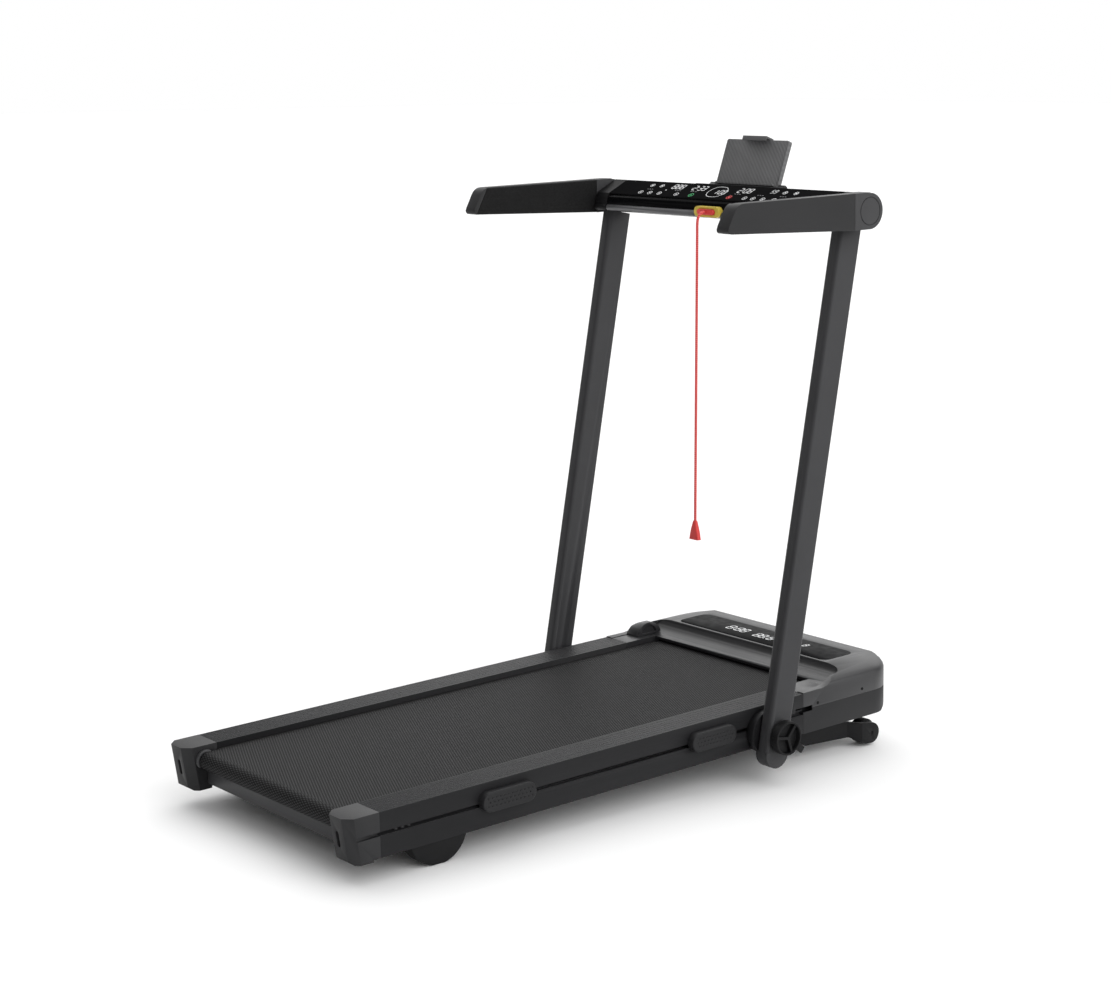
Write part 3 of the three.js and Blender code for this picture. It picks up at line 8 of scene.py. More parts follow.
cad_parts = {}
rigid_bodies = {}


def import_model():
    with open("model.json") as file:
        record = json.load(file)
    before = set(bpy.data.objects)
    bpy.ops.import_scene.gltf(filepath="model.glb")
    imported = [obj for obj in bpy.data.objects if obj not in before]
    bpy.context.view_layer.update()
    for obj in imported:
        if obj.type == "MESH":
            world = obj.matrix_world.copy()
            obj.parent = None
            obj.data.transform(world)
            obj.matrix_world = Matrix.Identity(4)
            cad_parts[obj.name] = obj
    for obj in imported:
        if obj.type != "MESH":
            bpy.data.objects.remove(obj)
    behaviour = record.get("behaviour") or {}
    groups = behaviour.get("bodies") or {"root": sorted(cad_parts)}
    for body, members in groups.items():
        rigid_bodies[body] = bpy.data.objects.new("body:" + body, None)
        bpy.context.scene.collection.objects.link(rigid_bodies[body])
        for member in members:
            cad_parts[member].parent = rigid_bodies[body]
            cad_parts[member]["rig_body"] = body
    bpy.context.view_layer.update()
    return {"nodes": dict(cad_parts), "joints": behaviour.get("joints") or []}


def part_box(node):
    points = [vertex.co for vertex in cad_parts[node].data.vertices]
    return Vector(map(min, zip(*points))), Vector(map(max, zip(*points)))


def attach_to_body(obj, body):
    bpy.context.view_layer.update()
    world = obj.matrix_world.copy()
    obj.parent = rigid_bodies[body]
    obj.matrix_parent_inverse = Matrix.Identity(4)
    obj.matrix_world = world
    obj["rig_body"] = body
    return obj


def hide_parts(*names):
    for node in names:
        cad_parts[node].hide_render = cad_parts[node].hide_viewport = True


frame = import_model()

# ------------------------------------------------------------------ frames and shared sizes

DECK_SLOPE = math.radians(1.3)
DECK_HEIGHT = 0.125                         # floor to the rail top at the deck's rear end
REAR_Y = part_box("rear_cap_right")[0].y      # rearmost point of the deck
DECK = Matrix.Translation((0, REAR_Y, DECK_HEIGHT)) @ Matrix.Rotation(DECK_SLOPE, 4, "X")
JOINTS = {joint["name"]: joint for joint in frame["joints"]}
HEAD_AXIS = Vector(JOINTS["console_fold"]["pos_m"])
HEAD = Matrix.Translation((0, HEAD_AXIS.y, HEAD_AXIS.z)) @ Matrix.Rotation(DECK_SLOPE, 4, "X")
MM = 0.001

RAIL_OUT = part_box("side_rail_right")[1].x
RAIL_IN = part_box("side_rail_right")[0].x
RIB_PITCH = (RAIL_OUT - RAIL_IN) / 7          # between the grooves in the rails' tops
BELT_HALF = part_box("running_belt")[1].x
DECK_LENGTH = 1.392

# ------------------------------------------------------------------ camera

SENSOR_WIDTH = 36.0
camera_data = bpy.data.cameras.new("camera")
camera_data.sensor_width = SENSOR_WIDTH
camera_data.lens = 73.77
camera_data.dof.use_dof = False
camera = bpy.data.objects.new("camera", camera_data)
bpy.context.scene.collection.objects.link(camera)
right = Vector((0.63283, 0.77429, -0.00469)).normalized()
back = Vector((0.76106, -0.62082, 0.18800)).normalized()
up = back.cross(right).normalized()
right = up.cross(back)
camera.matrix_world = Matrix((
    (right.x, up.x, back.x, 3.4332),
    (right.y, up.y, back.y, REAR_Y - 2.0826),
    (right.z, up.z, back.z, 1.4019),
    (0, 0, 0, 1),
))
bpy.context.scene.camera = camera

# ------------------------------------------------------------------ materials


def node_material(name):
    material = bpy.data.materials.new(name)
    material.use_nodes = True
    tree = material.node_tree
    for node in list(tree.nodes):
        tree.nodes.remove(node)
    output = tree.nodes.new("ShaderNodeOutputMaterial")
    shader = tree.nodes.new("ShaderNodeBsdfPrincipled")
    tree.links.new(shader.outputs["BSDF"], output.inputs["Surface"])
    return material, tree, shader


def coordinates(tree, scale, source="Object"):
    """Texture coordinates scaled per axis."""
    texture = tree.nodes.new("ShaderNodeTexCoord")
    mapping = tree.nodes.new("ShaderNodeMapping")
    mapping.inputs["Scale"].default_value = scale
    tree.links.new(texture.outputs[source], mapping.inputs["Vector"])
    return mapping.outputs["Vector"]


def noise(tree, vector, scale, detail=3.0, roughness=0.55):
    node = tree.nodes.new("ShaderNodeTexNoise")
    node.inputs["Scale"].default_value = scale
    node.inputs["Detail"].default_value = detail
    node.inputs["Roughness"].default_value = roughness
    tree.links.new(vector, node.inputs["Vector"])
    return node.outputs["Fac"]


def spread(tree, value, low, high, start=0.3, end=0.7):
    node = tree.nodes.new("ShaderNodeMapRange")
    node.inputs["From Min"].default_value = start
    node.inputs["From Max"].default_value = end
    node.inputs["To Min"].default_value = low
    node.inputs["To Max"].default_value = high
    tree.links.new(value, node.inputs["Value"])
    return node.outputs["Result"]


def math_node(tree, operation, a, b=None):
    node = tree.nodes.new("ShaderNodeMath")
    node.operation = operation
    for socket, value in zip(node.inputs, (a, b)):
        if value is None:
            continue
        if isinstance(value, (int, float)):
            socket.default_value = value
        else:
            tree.links.new(value, socket)
    return node.outputs["Value"]


def colour_mix(tree, factor, first, second, blend="MIX"):
    node = tree.nodes.new("ShaderNodeMix")
    node.data_type = "RGBA"
    node.blend_type = blend
    if isinstance(factor, (int, float)):
        node.inputs["Factor"].default_value = factor
    else:
        tree.links.new(factor, node.inputs["Factor"])
    for socket, value in ((node.inputs["A"], first), (node.inputs["B"], second)):
        if isinstance(value, tuple):
            socket.default_value = (*value, 1.0)
        else:
            tree.links.new(value, socket)
    return node.outputs["Result"]


def bump(tree, height, distance, strength=1.0, below=None):
    node = tree.nodes.new("ShaderNodeBump")
    node.inputs["Distance"].default_value = distance
    node.inputs["Strength"].default_value = strength
    tree.links.new(height, node.inputs["Height"])
    if below is not None:
        tree.links.new(below, node.inputs["Normal"])
    return node.outputs["Normal"]


def surface(name, colour, roughness, metallic=0.0, grain=1400.0, grain_depth=0.00004,
            stretch=(1, 1, 1), vary=0.16, wear=0.25, coat=0.0, specular=0.3):
    """A moulded, painted or metal surface: fine grain, broad tone changes and worn edges."""
    material, tree, shader = node_material(name)
    vector = coordinates(tree, stretch)
    fine = noise(tree, vector, grain, 2.0)
    broad = noise(tree, coordinates(tree, (1, 1, 1)), 7.0, 4.0)
    dark = tuple(c * (1 - vary) for c in colour)
    light = tuple(min(1.0, c * (1 + vary)) for c in colour)
    tone = colour_mix(tree, spread(tree, broad, 0, 1), dark, light)
    speck = colour_mix(tree, spread(tree, fine, 0, 0.35), tone, light)
    geometry = tree.nodes.new("ShaderNodeNewGeometry")
    edge = spread(tree, geometry.outputs["Pointiness"], 0, wear, 0.52, 0.62)
    worn = tuple(min(1.0, c * 1.7 + 0.01) for c in colour)
    tree.links.new(colour_mix(tree, edge, speck, worn), shader.inputs["Base Color"])
    rough = math_node(tree, "ADD", spread(tree, fine, -0.06, 0.06),
                      spread(tree, broad, roughness - 0.05, roughness + 0.05))
    tree.links.new(rough, shader.inputs["Roughness"])
    shader.inputs["Metallic"].default_value = metallic
    shader.inputs["Specular IOR Level"].default_value = specular
    shader.inputs["Coat Weight"].default_value = coat
    shader.inputs["Coat Roughness"].default_value = 0.08
    tree.links.new(bump(tree, fine, grain_depth), shader.inputs["Normal"])
    return material


def belt_weave():
    """Running belt: staggered lozenges pressed into dark PVC, laid out along the belt."""
    material, tree, shader = node_material("belt_weave")
    pitch_across, pitch_along = 0.0115, 0.0056
    texture = tree.nodes.new("ShaderNodeUVMap")
    texture.uv_map = "belt"
    mapping = tree.nodes.new("ShaderNodeMapping")
    mapping.inputs["Scale"].default_value = (1 / pitch_across, 1 / pitch_along, 1)
    tree.links.new(texture.outputs["UV"], mapping.inputs["Vector"])
    split = tree.nodes.new("ShaderNodeSeparateXYZ")
    tree.links.new(mapping.outputs["Vector"], split.inputs["Vector"])

    def wave(value):
        return math_node(tree, "COSINE", math_node(tree, "MULTIPLY", value, math.pi))

    across, along = split.outputs["X"], split.outputs["Y"]
    lattice = math_node(tree, "MULTIPLY", wave(math_node(tree, "ADD", across, along)),
                        wave(math_node(tree, "SUBTRACT", across, along)))
    ridge = math_node(tree, "ABSOLUTE", lattice)
    lozenge = spread(tree, ridge, 0, 1, 0.35, 0.75)
    fibre = noise(tree, coordinates(tree, (1, 1, 1)), 2600.0, 2.0)
    broad = noise(tree, coordinates(tree, (1, 0.35, 1)), 9.0, 4.0)
    base = colour_mix(tree, spread(tree, broad, 0, 1),
                      (0.0045, 0.0045, 0.0048), (0.0065, 0.0065, 0.0068))
    raised = colour_mix(tree, lozenge, base, (0.024, 0.024, 0.025))
    tree.links.new(raised, shader.inputs["Base Color"])
    tree.links.new(spread(tree, lozenge, 0.72, 0.48, 0, 1), shader.inputs["Roughness"])
    shader.inputs["Specular IOR Level"].default_value = 0.12
    rough_skin = bump(tree, fibre, 0.00003)
    tree.links.new(bump(tree, lozenge, 0.0005, 1.0, rough_skin), shader.inputs["Normal"])
    return material


def rail_with_painted_rib_light():
    """Anodised rail: drawn lengthwise; on its upward faces, painted shade darkens the grooves and
    painted highlights brighten the groove lips.
    """
    material, tree, shader = node_material("rail_painted_light")
    texture = tree.nodes.new("ShaderNodeTexCoord")
    split = tree.nodes.new("ShaderNodeSeparateXYZ")
    tree.links.new(texture.outputs["Object"], split.inputs["Vector"])
    facing = tree.nodes.new("ShaderNodeSeparateXYZ")
    geometry = tree.nodes.new("ShaderNodeNewGeometry")
    tree.links.new(geometry.outputs["Normal"], facing.inputs["Vector"])
    top = math_node(tree, "GREATER_THAN", facing.outputs["Z"], 0.9)
    across = math_node(tree, "SUBTRACT", math_node(tree, "ABSOLUTE", split.outputs["X"]), RAIL_IN)
    pitches = math_node(tree, "DIVIDE", across, RIB_PITCH)
    share = math_node(tree, "FRACT", math_node(tree, "ADD", pitches, 0.5))
    off_groove = math_node(tree, "ABSOLUTE", math_node(tree, "SUBTRACT", share, 0.5))
    # painted highlight: light bands along the lips of each groove, on upward faces only
    painted_lip_highlight = math_node(tree, "MULTIPLY", spread(tree, off_groove, 1, 0, 0.11, 0.17), top)
    # painted shade: near-black in each groove, on upward faces only
    painted_groove_shade = math_node(tree, "MULTIPLY", spread(tree, off_groove, 1, 0, 0.07, 0.10), top)
    drawn = noise(tree, coordinates(tree, (1.0, 0.004, 1.0)), 700.0, 2.0)
    broad = noise(tree, coordinates(tree, (1, 1, 1)), 4.0, 3.0)
    tone = colour_mix(tree, spread(tree, broad, 0, 1),
                      (0.0135, 0.0135, 0.0145), (0.0165, 0.0165, 0.0175))
    # painted highlight colour on the groove lips, then painted shade colour in the grooves
    tone_with_lip_highlight = colour_mix(tree, painted_lip_highlight, tone, (0.130, 0.130, 0.134))
    tree.links.new(colour_mix(tree, painted_groove_shade, tone_with_lip_highlight, (0.002, 0.002, 0.002)), shader.inputs["Base Color"])
    tree.links.new(spread(tree, drawn, 0.46, 0.52), shader.inputs["Roughness"])
    shader.inputs["Specular IOR Level"].default_value = 0.12
    return material


def hatch_plate():
    """Tablet plate: fine diagonal ribs moulded into grey plastic."""
    material, tree, shader = node_material("tablet_hatch")
    wave = tree.nodes.new("ShaderNodeTexWave")
    wave.wave_type = "BANDS"
    wave.bands_direction = "DIAGONAL"
    wave.inputs["Scale"].default_value = 1.0
    wave.inputs["Distortion"].default_value = 0.0
    mapping = coordinates(tree, (62, 0, 62))
    tree.links.new(mapping, wave.inputs["Vector"])
    rib = wave.outputs["Fac"]
    broad = noise(tree, coordinates(tree, (1, 1, 1)), 14.0, 3.0)
    base = colour_mix(tree, spread(tree, broad, 0, 1), (0.088, 0.088, 0.090), (0.115, 0.115, 0.118))
    tree.links.new(colour_mix(tree, spread(tree, rib, 0, 0.45, 0, 1), base, (0.155, 0.155, 0.158)),
                   shader.inputs["Base Color"])
    shader.inputs["Roughness"].default_value = 0.52
    tree.links.new(bump(tree, rib, 0.0004), shader.inputs["Normal"])
    return material


def leather():
    """Grip leather: pebbled cells with soft creases."""
    material, tree, shader = node_material("leather_grip")
    vector = coordinates(tree, (1, 1, 1))
    cells = tree.nodes.new("ShaderNodeTexVoronoi")
    cells.feature = "DISTANCE_TO_EDGE"
    cells.inputs["Scale"].default_value = 420.0
    tree.links.new(vector, cells.inputs["Vector"])
    pebble = spread(tree, cells.outputs["Distance"], 0, 1, 0.0, 0.35)
    broad = noise(tree, vector, 18.0, 4.0)
    base = colour_mix(tree, spread(tree, broad, 0, 1),
                      (0.0065, 0.0065, 0.0070), (0.0110, 0.0110, 0.0115))
    tree.links.new(colour_mix(tree, pebble, (0.005, 0.005, 0.005), base), shader.inputs["Base Color"])
    tree.links.new(spread(tree, pebble, 0.75, 0.5, 0, 1), shader.inputs["Roughness"])
    shader.inputs["Specular IOR Level"].default_value = 0.15
    tree.links.new(bump(tree, pebble, 0.0003), shader.inputs["Normal"])
    return material


def cord_braid():
    """Red cord: a fine twisted sleeve."""
    material, tree, shader = node_material("cord_red")
    wave = tree.nodes.new("ShaderNodeTexWave")
    wave.wave_type = "BANDS"
    wave.bands_direction = "Z"
    wave.inputs["Scale"].default_value = 1.0
    wave.inputs["Distortion"].default_value = 1.2
    tree.links.new(coordinates(tree, (90, 90, 75)), wave.inputs["Vector"])
    tree.links.new(colour_mix(tree, spread(tree, wave.outputs["Fac"], 0, 1, 0, 1),
                              (0.56, 0.040, 0.040), (0.80, 0.105, 0.100)), shader.inputs["Base Color"])
    shader.inputs["Roughness"].default_value = 0.55
    tree.links.new(bump(tree, wave.outputs["Fac"], 0.0002), shader.inputs["Normal"])
    return material


def board_film():
    """Deck board: black phenolic film with a faint wire mark."""
    material, tree, shader = node_material("board_film")
    grain = noise(tree, coordinates(tree, (18, 0.9, 60)), 6.0, 6.0)
    tree.links.new(colour_mix(tree, spread(tree, grain, 0, 1),
                              (0.006, 0.006, 0.006), (0.012, 0.011, 0.010)),
                   shader.inputs["Base Color"])
    shader.inputs["Roughness"].default_value = 0.6
    tree.links.new(bump(tree, grain, 0.0001), shader.inputs["Normal"])
    return material


def floor_material():
    material, tree, shader = node_material("floor_white")
    fine = noise(tree, coordinates(tree, (1, 1, 1)), 3.0, 2.0)
    tree.links.new(colour_mix(tree, spread(tree, fine, 0, 1),
                              (0.955, 0.955, 0.955), (0.965, 0.965, 0.965)),
                   shader.inputs["Base Color"])
    shader.inputs["Roughness"].default_value = 0.9
    shader.inputs["Specular IOR Level"].default_value = 0.1
    return material


RAIL = rail_with_painted_rib_light()
MOULDED = surface("moulded_black", (0.0155, 0.0155, 0.0165), 0.50, grain=1500.0, specular=0.22)
COVER = surface("cover_charcoal", (0.0190, 0.0190, 0.0205), 0.36, grain=1700.0, grain_depth=0.00001,
                specular=0.45)
BELT = belt_weave()
GLOSS = surface("gloss_black", (0.0030, 0.0030, 0.0034), 0.26, grain=60.0, grain_depth=0.000001,
                vary=0.1, wear=0.1, specular=0.02)
PANEL = surface("panel_black", (0.0085, 0.0085, 0.0090), 0.45, grain=60.0, grain_depth=0.000001,
                vary=0.1, wear=0.1, specular=0.0)
WINDOW = surface("window_black", (0.0075, 0.0075, 0.0080), 0.45, grain=60.0, grain_depth=0.000001,
                 vary=0.06, wear=0.1, specular=0.02)
PAINT = surface("frame_paint", (0.034, 0.034, 0.036), 0.46, 0.0, 1500.0, 0.00003, wear=0.3,
                specular=0.22)
SHELL = surface("rail_plastic", (0.0185, 0.0185, 0.0195), 0.50, grain=1500.0, specular=0.22)
HOUSING = surface("housing_grey", (0.040, 0.040, 0.042), 0.48, grain=1500.0, specular=0.25)
BAR = surface("bar_grey", (0.110, 0.110, 0.114), 0.34, 0.2, 1200.0, 0.00003)
STEEL = surface("steel", (0.42, 0.43, 0.44), 0.30, 0.95, 800.0, 0.00003, stretch=(0.05, 1, 1))
DARK_STEEL = surface("dark_steel", (0.0100, 0.0100, 0.0110), 0.46, 0.2, 900.0, 0.00003, specular=0.2)
RUBBER = surface("rubber_black", (0.0075, 0.0075, 0.0080), 0.62, grain=1100.0, grain_depth=0.00006,
                 specular=0.15)
PAD = surface("pad_rubber", (0.0125, 0.0125, 0.0135), 0.50, grain=1300.0, grain_depth=0.00003,
              specular=0.22)
MATT = surface("matt_black", (0.0065, 0.0065, 0.0070), 0.55, grain=1300.0, specular=0.15)
GUARD = surface("guard_grey", (0.040, 0.040, 0.042), 0.50, grain=900.0)
LEATHER = leather()
TABLET_GREY = surface("tablet_grey", (0.085, 0.085, 0.087), 0.5, grain=1300.0)
HATCH = hatch_plate()
KEY_YELLOW = surface("key_yellow", (0.55, 0.42, 0.055), 0.42, grain=1200.0)
KEY_RED = surface("key_red", (0.70, 0.055, 0.050), 0.42, grain=1200.0)
CORD_RED = cord_braid()
BOARD = board_film()
# painted shade: near-black for the cover's screw holes
HOLE_SHADE = surface("painted_hole_shade", (0.002, 0.002, 0.002), 0.9, grain=900.0)
INK_WHITE = surface("ink_white", (0.80, 0.81, 0.82), 0.5, grain=2500.0, grain_depth=0.000005, vary=0.05)
INK_GREY = surface("ink_grey", (0.22, 0.22, 0.23), 0.5, grain=2500.0, grain_depth=0.000005, vary=0.05)
INK_GREEN = surface("ink_green", (0.02, 0.34, 0.10), 0.5, grain=2500.0, grain_depth=0.000005, vary=0.05)
INK_RED = surface("ink_red", (0.62, 0.02, 0.02), 0.5, grain=2500.0, grain_depth=0.000005, vary=0.05)

# ------------------------------------------------------------------ mesh helpers


def link(name, mesh):
    piece = bpy.data.objects.new(name, mesh)
    bpy.context.scene.collection.objects.link(piece)
    return piece


def mesh_piece(name, points, faces, matrix, material, smooth=None):
    """A new piece from points and faces given in a local frame."""
    mesh = bpy.data.meshes.new(name)
    mesh.from_pydata([tuple(p) for p in points], [], [tuple(f) for f in faces])
    mesh.validate()
    mesh.update()
    piece = link(name, mesh)
    piece.matrix_world = matrix
    mesh.materials.append(material)
    fix_normals(mesh)
    if smooth is not None:
        shade(piece, smooth)
    return piece


def fix_normals(mesh):
    work = bmesh.new()
    work.from_mesh(mesh)
    bmesh.ops.recalc_face_normals(work, faces=work.faces)
    work.to_mesh(mesh)
    work.free()


def apply_modifiers(piece):
    """Bakes a piece's modifiers into its mesh."""
    bpy.context.view_layer.update()
    graph = bpy.context.evaluated_depsgraph_get()
    result = bpy.data.meshes.new_from_object(piece.evaluated_get(graph))
    piece.modifiers.clear()
    piece.data = result


def shade(piece, degrees):
    """Smooth shading with sharp edges above an angle."""
    piece.data.shade_smooth()
    piece.data.set_sharp_from_angle(angle=math.radians(degrees))


def bevel(piece, width, segments=2, degrees=30):
    modifier = piece.modifiers.new("bevel", "BEVEL")
    modifier.width = width
    modifier.segments = segments
    modifier.limit_method = "ANGLE"
    modifier.angle_limit = math.radians(degrees)
    modifier.use_clamp_overlap = True
    modifier.harden_normals = True
    modifier.miter_outer = "MITER_ARC"
    piece.data.shade_smooth()
    apply_modifiers(piece)


def refine(node, material, width=0.0006, segments=2, degrees=30):
    """A copy of a CAD node with its flat faces merged and its edges softly broken."""
    source = frame["nodes"][node]
    mesh = source.data.copy()
    mesh.materials.clear()
    mesh.materials.append(material)
    work = bmesh.new()
    work.from_mesh(mesh)
    bmesh.ops.remove_doubles(work, verts=work.verts, dist=0.00002)
    bmesh.ops.dissolve_limit(work, angle_limit=math.radians(0.8), verts=work.verts,
                             edges=work.edges, delimit={"NORMAL"})
    bmesh.ops.recalc_face_normals(work, faces=work.faces)
    work.to_mesh(mesh)
    work.free()
    piece = link(node + "_skin", mesh)
    if width:
        bevel(piece, width, segments, degrees)
    else:
        shade(piece, degrees)
    body = source["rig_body"]
    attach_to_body(piece, body)
    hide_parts(node)
    return piece


def paint(node, material):
    """Gives a carried-over CAD node its finish."""
    source = frame["nodes"][node]
    source.data.materials.clear()
    source.data.materials.append(material)


def attach(piece, body):
    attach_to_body(piece, body)
    return piece


def both(name):
    return [name + "_right", name + "_left"]


# ------------------------------------------------------------------ safety cord

CORD_RADIUS = 0.0028
CORD_EXIT = HEAD @ Vector((0, -0.0653, -0.016))
CORD_ROUTE = [
    (0, 0), (-6, -0.5), (-12, -3), (-16.5, -8), (-19, -15), (-20, -24), (-20, -50), (-20, -120),
    (-20, -220), (-20, -340), (-20, -460), (-20, -560), (-20, -640),
]


def centripetal(points, steps):
    """Points along a centripetal Catmull-Rom curve, evenly placed in its parameter."""
    points = [Vector(p) for p in points]
    found = []
    spans = len(points) - 1
    for i in range(steps + 1):
        place = i / steps * spans
        k = min(int(place), spans - 1)
        t = place - k
        p1, p2 = points[k], points[k + 1]
        p0 = points[k - 1] if k > 0 else p1 * 2 - p2
        p3 = points[k + 2] if k + 2 <= spans else p2 * 2 - p1
        d0, d1, d2 = [max((b - a).length ** 0.5, 1e-6) for a, b in ((p0, p1), (p1, p2), (p2, p3))]
        m1 = ((p1 - p0) / d0 - (p2 - p0) / (d0 + d1) + (p2 - p1) / d1) * d1
        m2 = ((p2 - p1) / d1 - (p3 - p1) / (d1 + d2) + (p3 - p2) / d2) * d1
        found.append((2 * p1 - 2 * p2 + m1 + m2) * t ** 3 + (-3 * p1 + 3 * p2 - 2 * m1 - m2) * t ** 2
                     + m1 * t + p1)
    return found


def tube(name, path, radius, material, sides=16):
    points, faces = [], []
    for i, centre in enumerate(path):
        before = path[max(i - 1, 0)]
        after = path[min(i + 1, len(path) - 1)]
        along = (after - before).normalized()
        side = Vector((1, 0, 0))
        over = along.cross(side).normalized()
        for k in range(sides):
            turn = 2 * math.pi * k / sides
            points.append(centre + (side * math.cos(turn) + over * math.sin(turn)) * radius)
    for i in range(len(path) - 1):
        for k in range(sides):
            after = (k + 1) % sides
            faces.append((i * sides + k, i * sides + after,
                          (i + 1) * sides + after, (i + 1) * sides + k))
    faces.append(tuple(range(sides)))
    faces.append(tuple(range((len(path) - 1) * sides, len(path) * sides)))
    return mesh_piece(name, points, faces, Matrix.Identity(4), material, 40)


cord_path = centripetal([CORD_EXIT + Vector((0, y * MM, z * MM)) for y, z in CORD_ROUTE], 160)
cord = tube("safety_cord_sleeve", cord_path, CORD_RADIUS, CORD_RED)
attach(cord, "key")
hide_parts("safety_cord")


def clip_body():
    """The clothes clip: a rounded moulding that narrows and thins towards its top."""
    low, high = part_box("cord_clip")
    tall = high.z - low.z
    y_mid = (low.y + high.y) / 2
    half_y = (high.y - low.y) / 2
    rings = []
    for share, width, depth in ((0.0, 1.0, 1.0), (0.04, 1.0, 1.0), (0.08, 0.96, 0.95),
                                (0.35, 0.80, 0.95), (0.62, 0.58, 0.88), (0.80, 0.42, 0.74),
                                (0.90, 0.36, 0.62), (0.97, 0.30, 0.52), (1.0, 0.20, 0.36)):
        half_x = high.x * width
        depth *= half_y
        z = low.z + share * tall
        ring = []
        for k in range(24):
            turn = 2 * math.pi * k / 24
            c, s = math.cos(turn), math.sin(turn)
            power = 0.42
            ring.append((half_x * math.copysign(abs(c) ** power, c),
                         y_mid + depth * math.copysign(abs(s) ** power, s), z))
        rings.append(ring)
    points = [p for ring in rings for p in ring]
    faces = [tuple(range(24)), tuple(range(24 * (len(rings) - 1), 24 * len(rings)))]
    for i in range(len(rings) - 1):
        for k in range(24):
            after = (k + 1) % 24
            faces.append((24 * i + k, 24 * i + after, 24 * i + 24 + after, 24 * i + 24 + k))
    return mesh_piece("cord_clip_body", points, faces, Matrix.Identity(4), KEY_RED, 50)


clip = clip_body()
attach(clip, "key")
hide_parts("cord_clip")

# ------------------------------------------------------------------ deck: rails, caps, belt, guards

for node in both("side_rail"):
    refine(node, RAIL, 0.0004, 1)
for node in both("rear_cap"):
    refine(node, MOULDED, 0.0014, 3)
for node in both("roller_guard"):
    refine(node, GUARD, 0.0004, 1)
refine("rear_crossbar", PAINT, 0.001, 2)
for node in ("crossmember_1", "crossmember_2", "rear_shaft"):
    paint(node, DARK_STEEL)
for node in ("rear_roller", "front_roller"):
    refine(node, STEEL, 0.0005, 2)
refine("deck_board", BOARD, 0.0008, 1)


def running_belt():
    """The belt as one band with its layout carried round both rollers."""
    thick = 0.0018
    radius = 0.016
    rear, front = 0.042, DECK_LENGTH - 0.170
    axle_z = -0.010 - thick - radius
    outer = radius + thick
    inner = radius + 0.0003
    path = []
    wrap = 20
    for i in range(wrap + 1):
        turn = math.radians(90 + 180 * i / wrap)
        path.append((rear, turn))
    for i in range(wrap + 1):
        turn = math.radians(-90 + 180 * i / wrap)
        path.append((front, turn))
    outside = [Vector((y + outer * math.cos(t), axle_z + outer * math.sin(t))) for y, t in path]
    inside = [Vector((y + inner * math.cos(t), axle_z + inner * math.sin(t))) for y, t in path]
    count = len(outside)
    along = [0.0]
    for a, b in zip(outside, outside[1:] + outside[:1]):
        along.append(along[-1] + (b - a).length)
    half = BELT_HALF
    points = []
    for a, b in zip(outside, inside):
        points += [(-half, a.x, a.y), (half, a.x, a.y), (-half, b.x, b.y), (half, b.x, b.y)]
    faces, layout = [], []
    for i in range(count):
        k, n = 4 * i, 4 * ((i + 1) % count)
        u0, u1 = along[i], along[i + 1]
        faces += [(k, k + 1, n + 1, n), (k + 2, n + 2, n + 3, k + 3), (k, n, n + 2, k + 2),
                  (k + 1, k + 3, n + 3, n + 1)]
        layout += [[(-half, u0), (half, u0), (half, u1), (-half, u1)],
                   [(-half, u0), (-half, u1), (half, u1), (half, u0)],
                   [(0, u0), (0, u1), (thick, u1), (thick, u0)],
                   [(0, u0), (thick, u0), (thick, u1), (0, u1)]]
    mesh = bpy.data.meshes.new("running_belt_band")
    mesh.from_pydata(points, [], faces)
    uv = mesh.uv_layers.new(name="belt")
    for polygon, corners in zip(mesh.polygons, layout):
        for loop, value in zip(polygon.loop_indices, corners):
            uv.data[loop].uv = value
    mesh.materials.append(BELT)
    mesh.update()
    piece = link("running_belt_band", mesh)
    piece.matrix_world = DECK
    fix_normals(mesh)
    shade(piece, 40)
    attach(piece, "deck")
    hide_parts("running_belt")


running_belt()

# ------------------------------------------------------------------ side pads with dimples


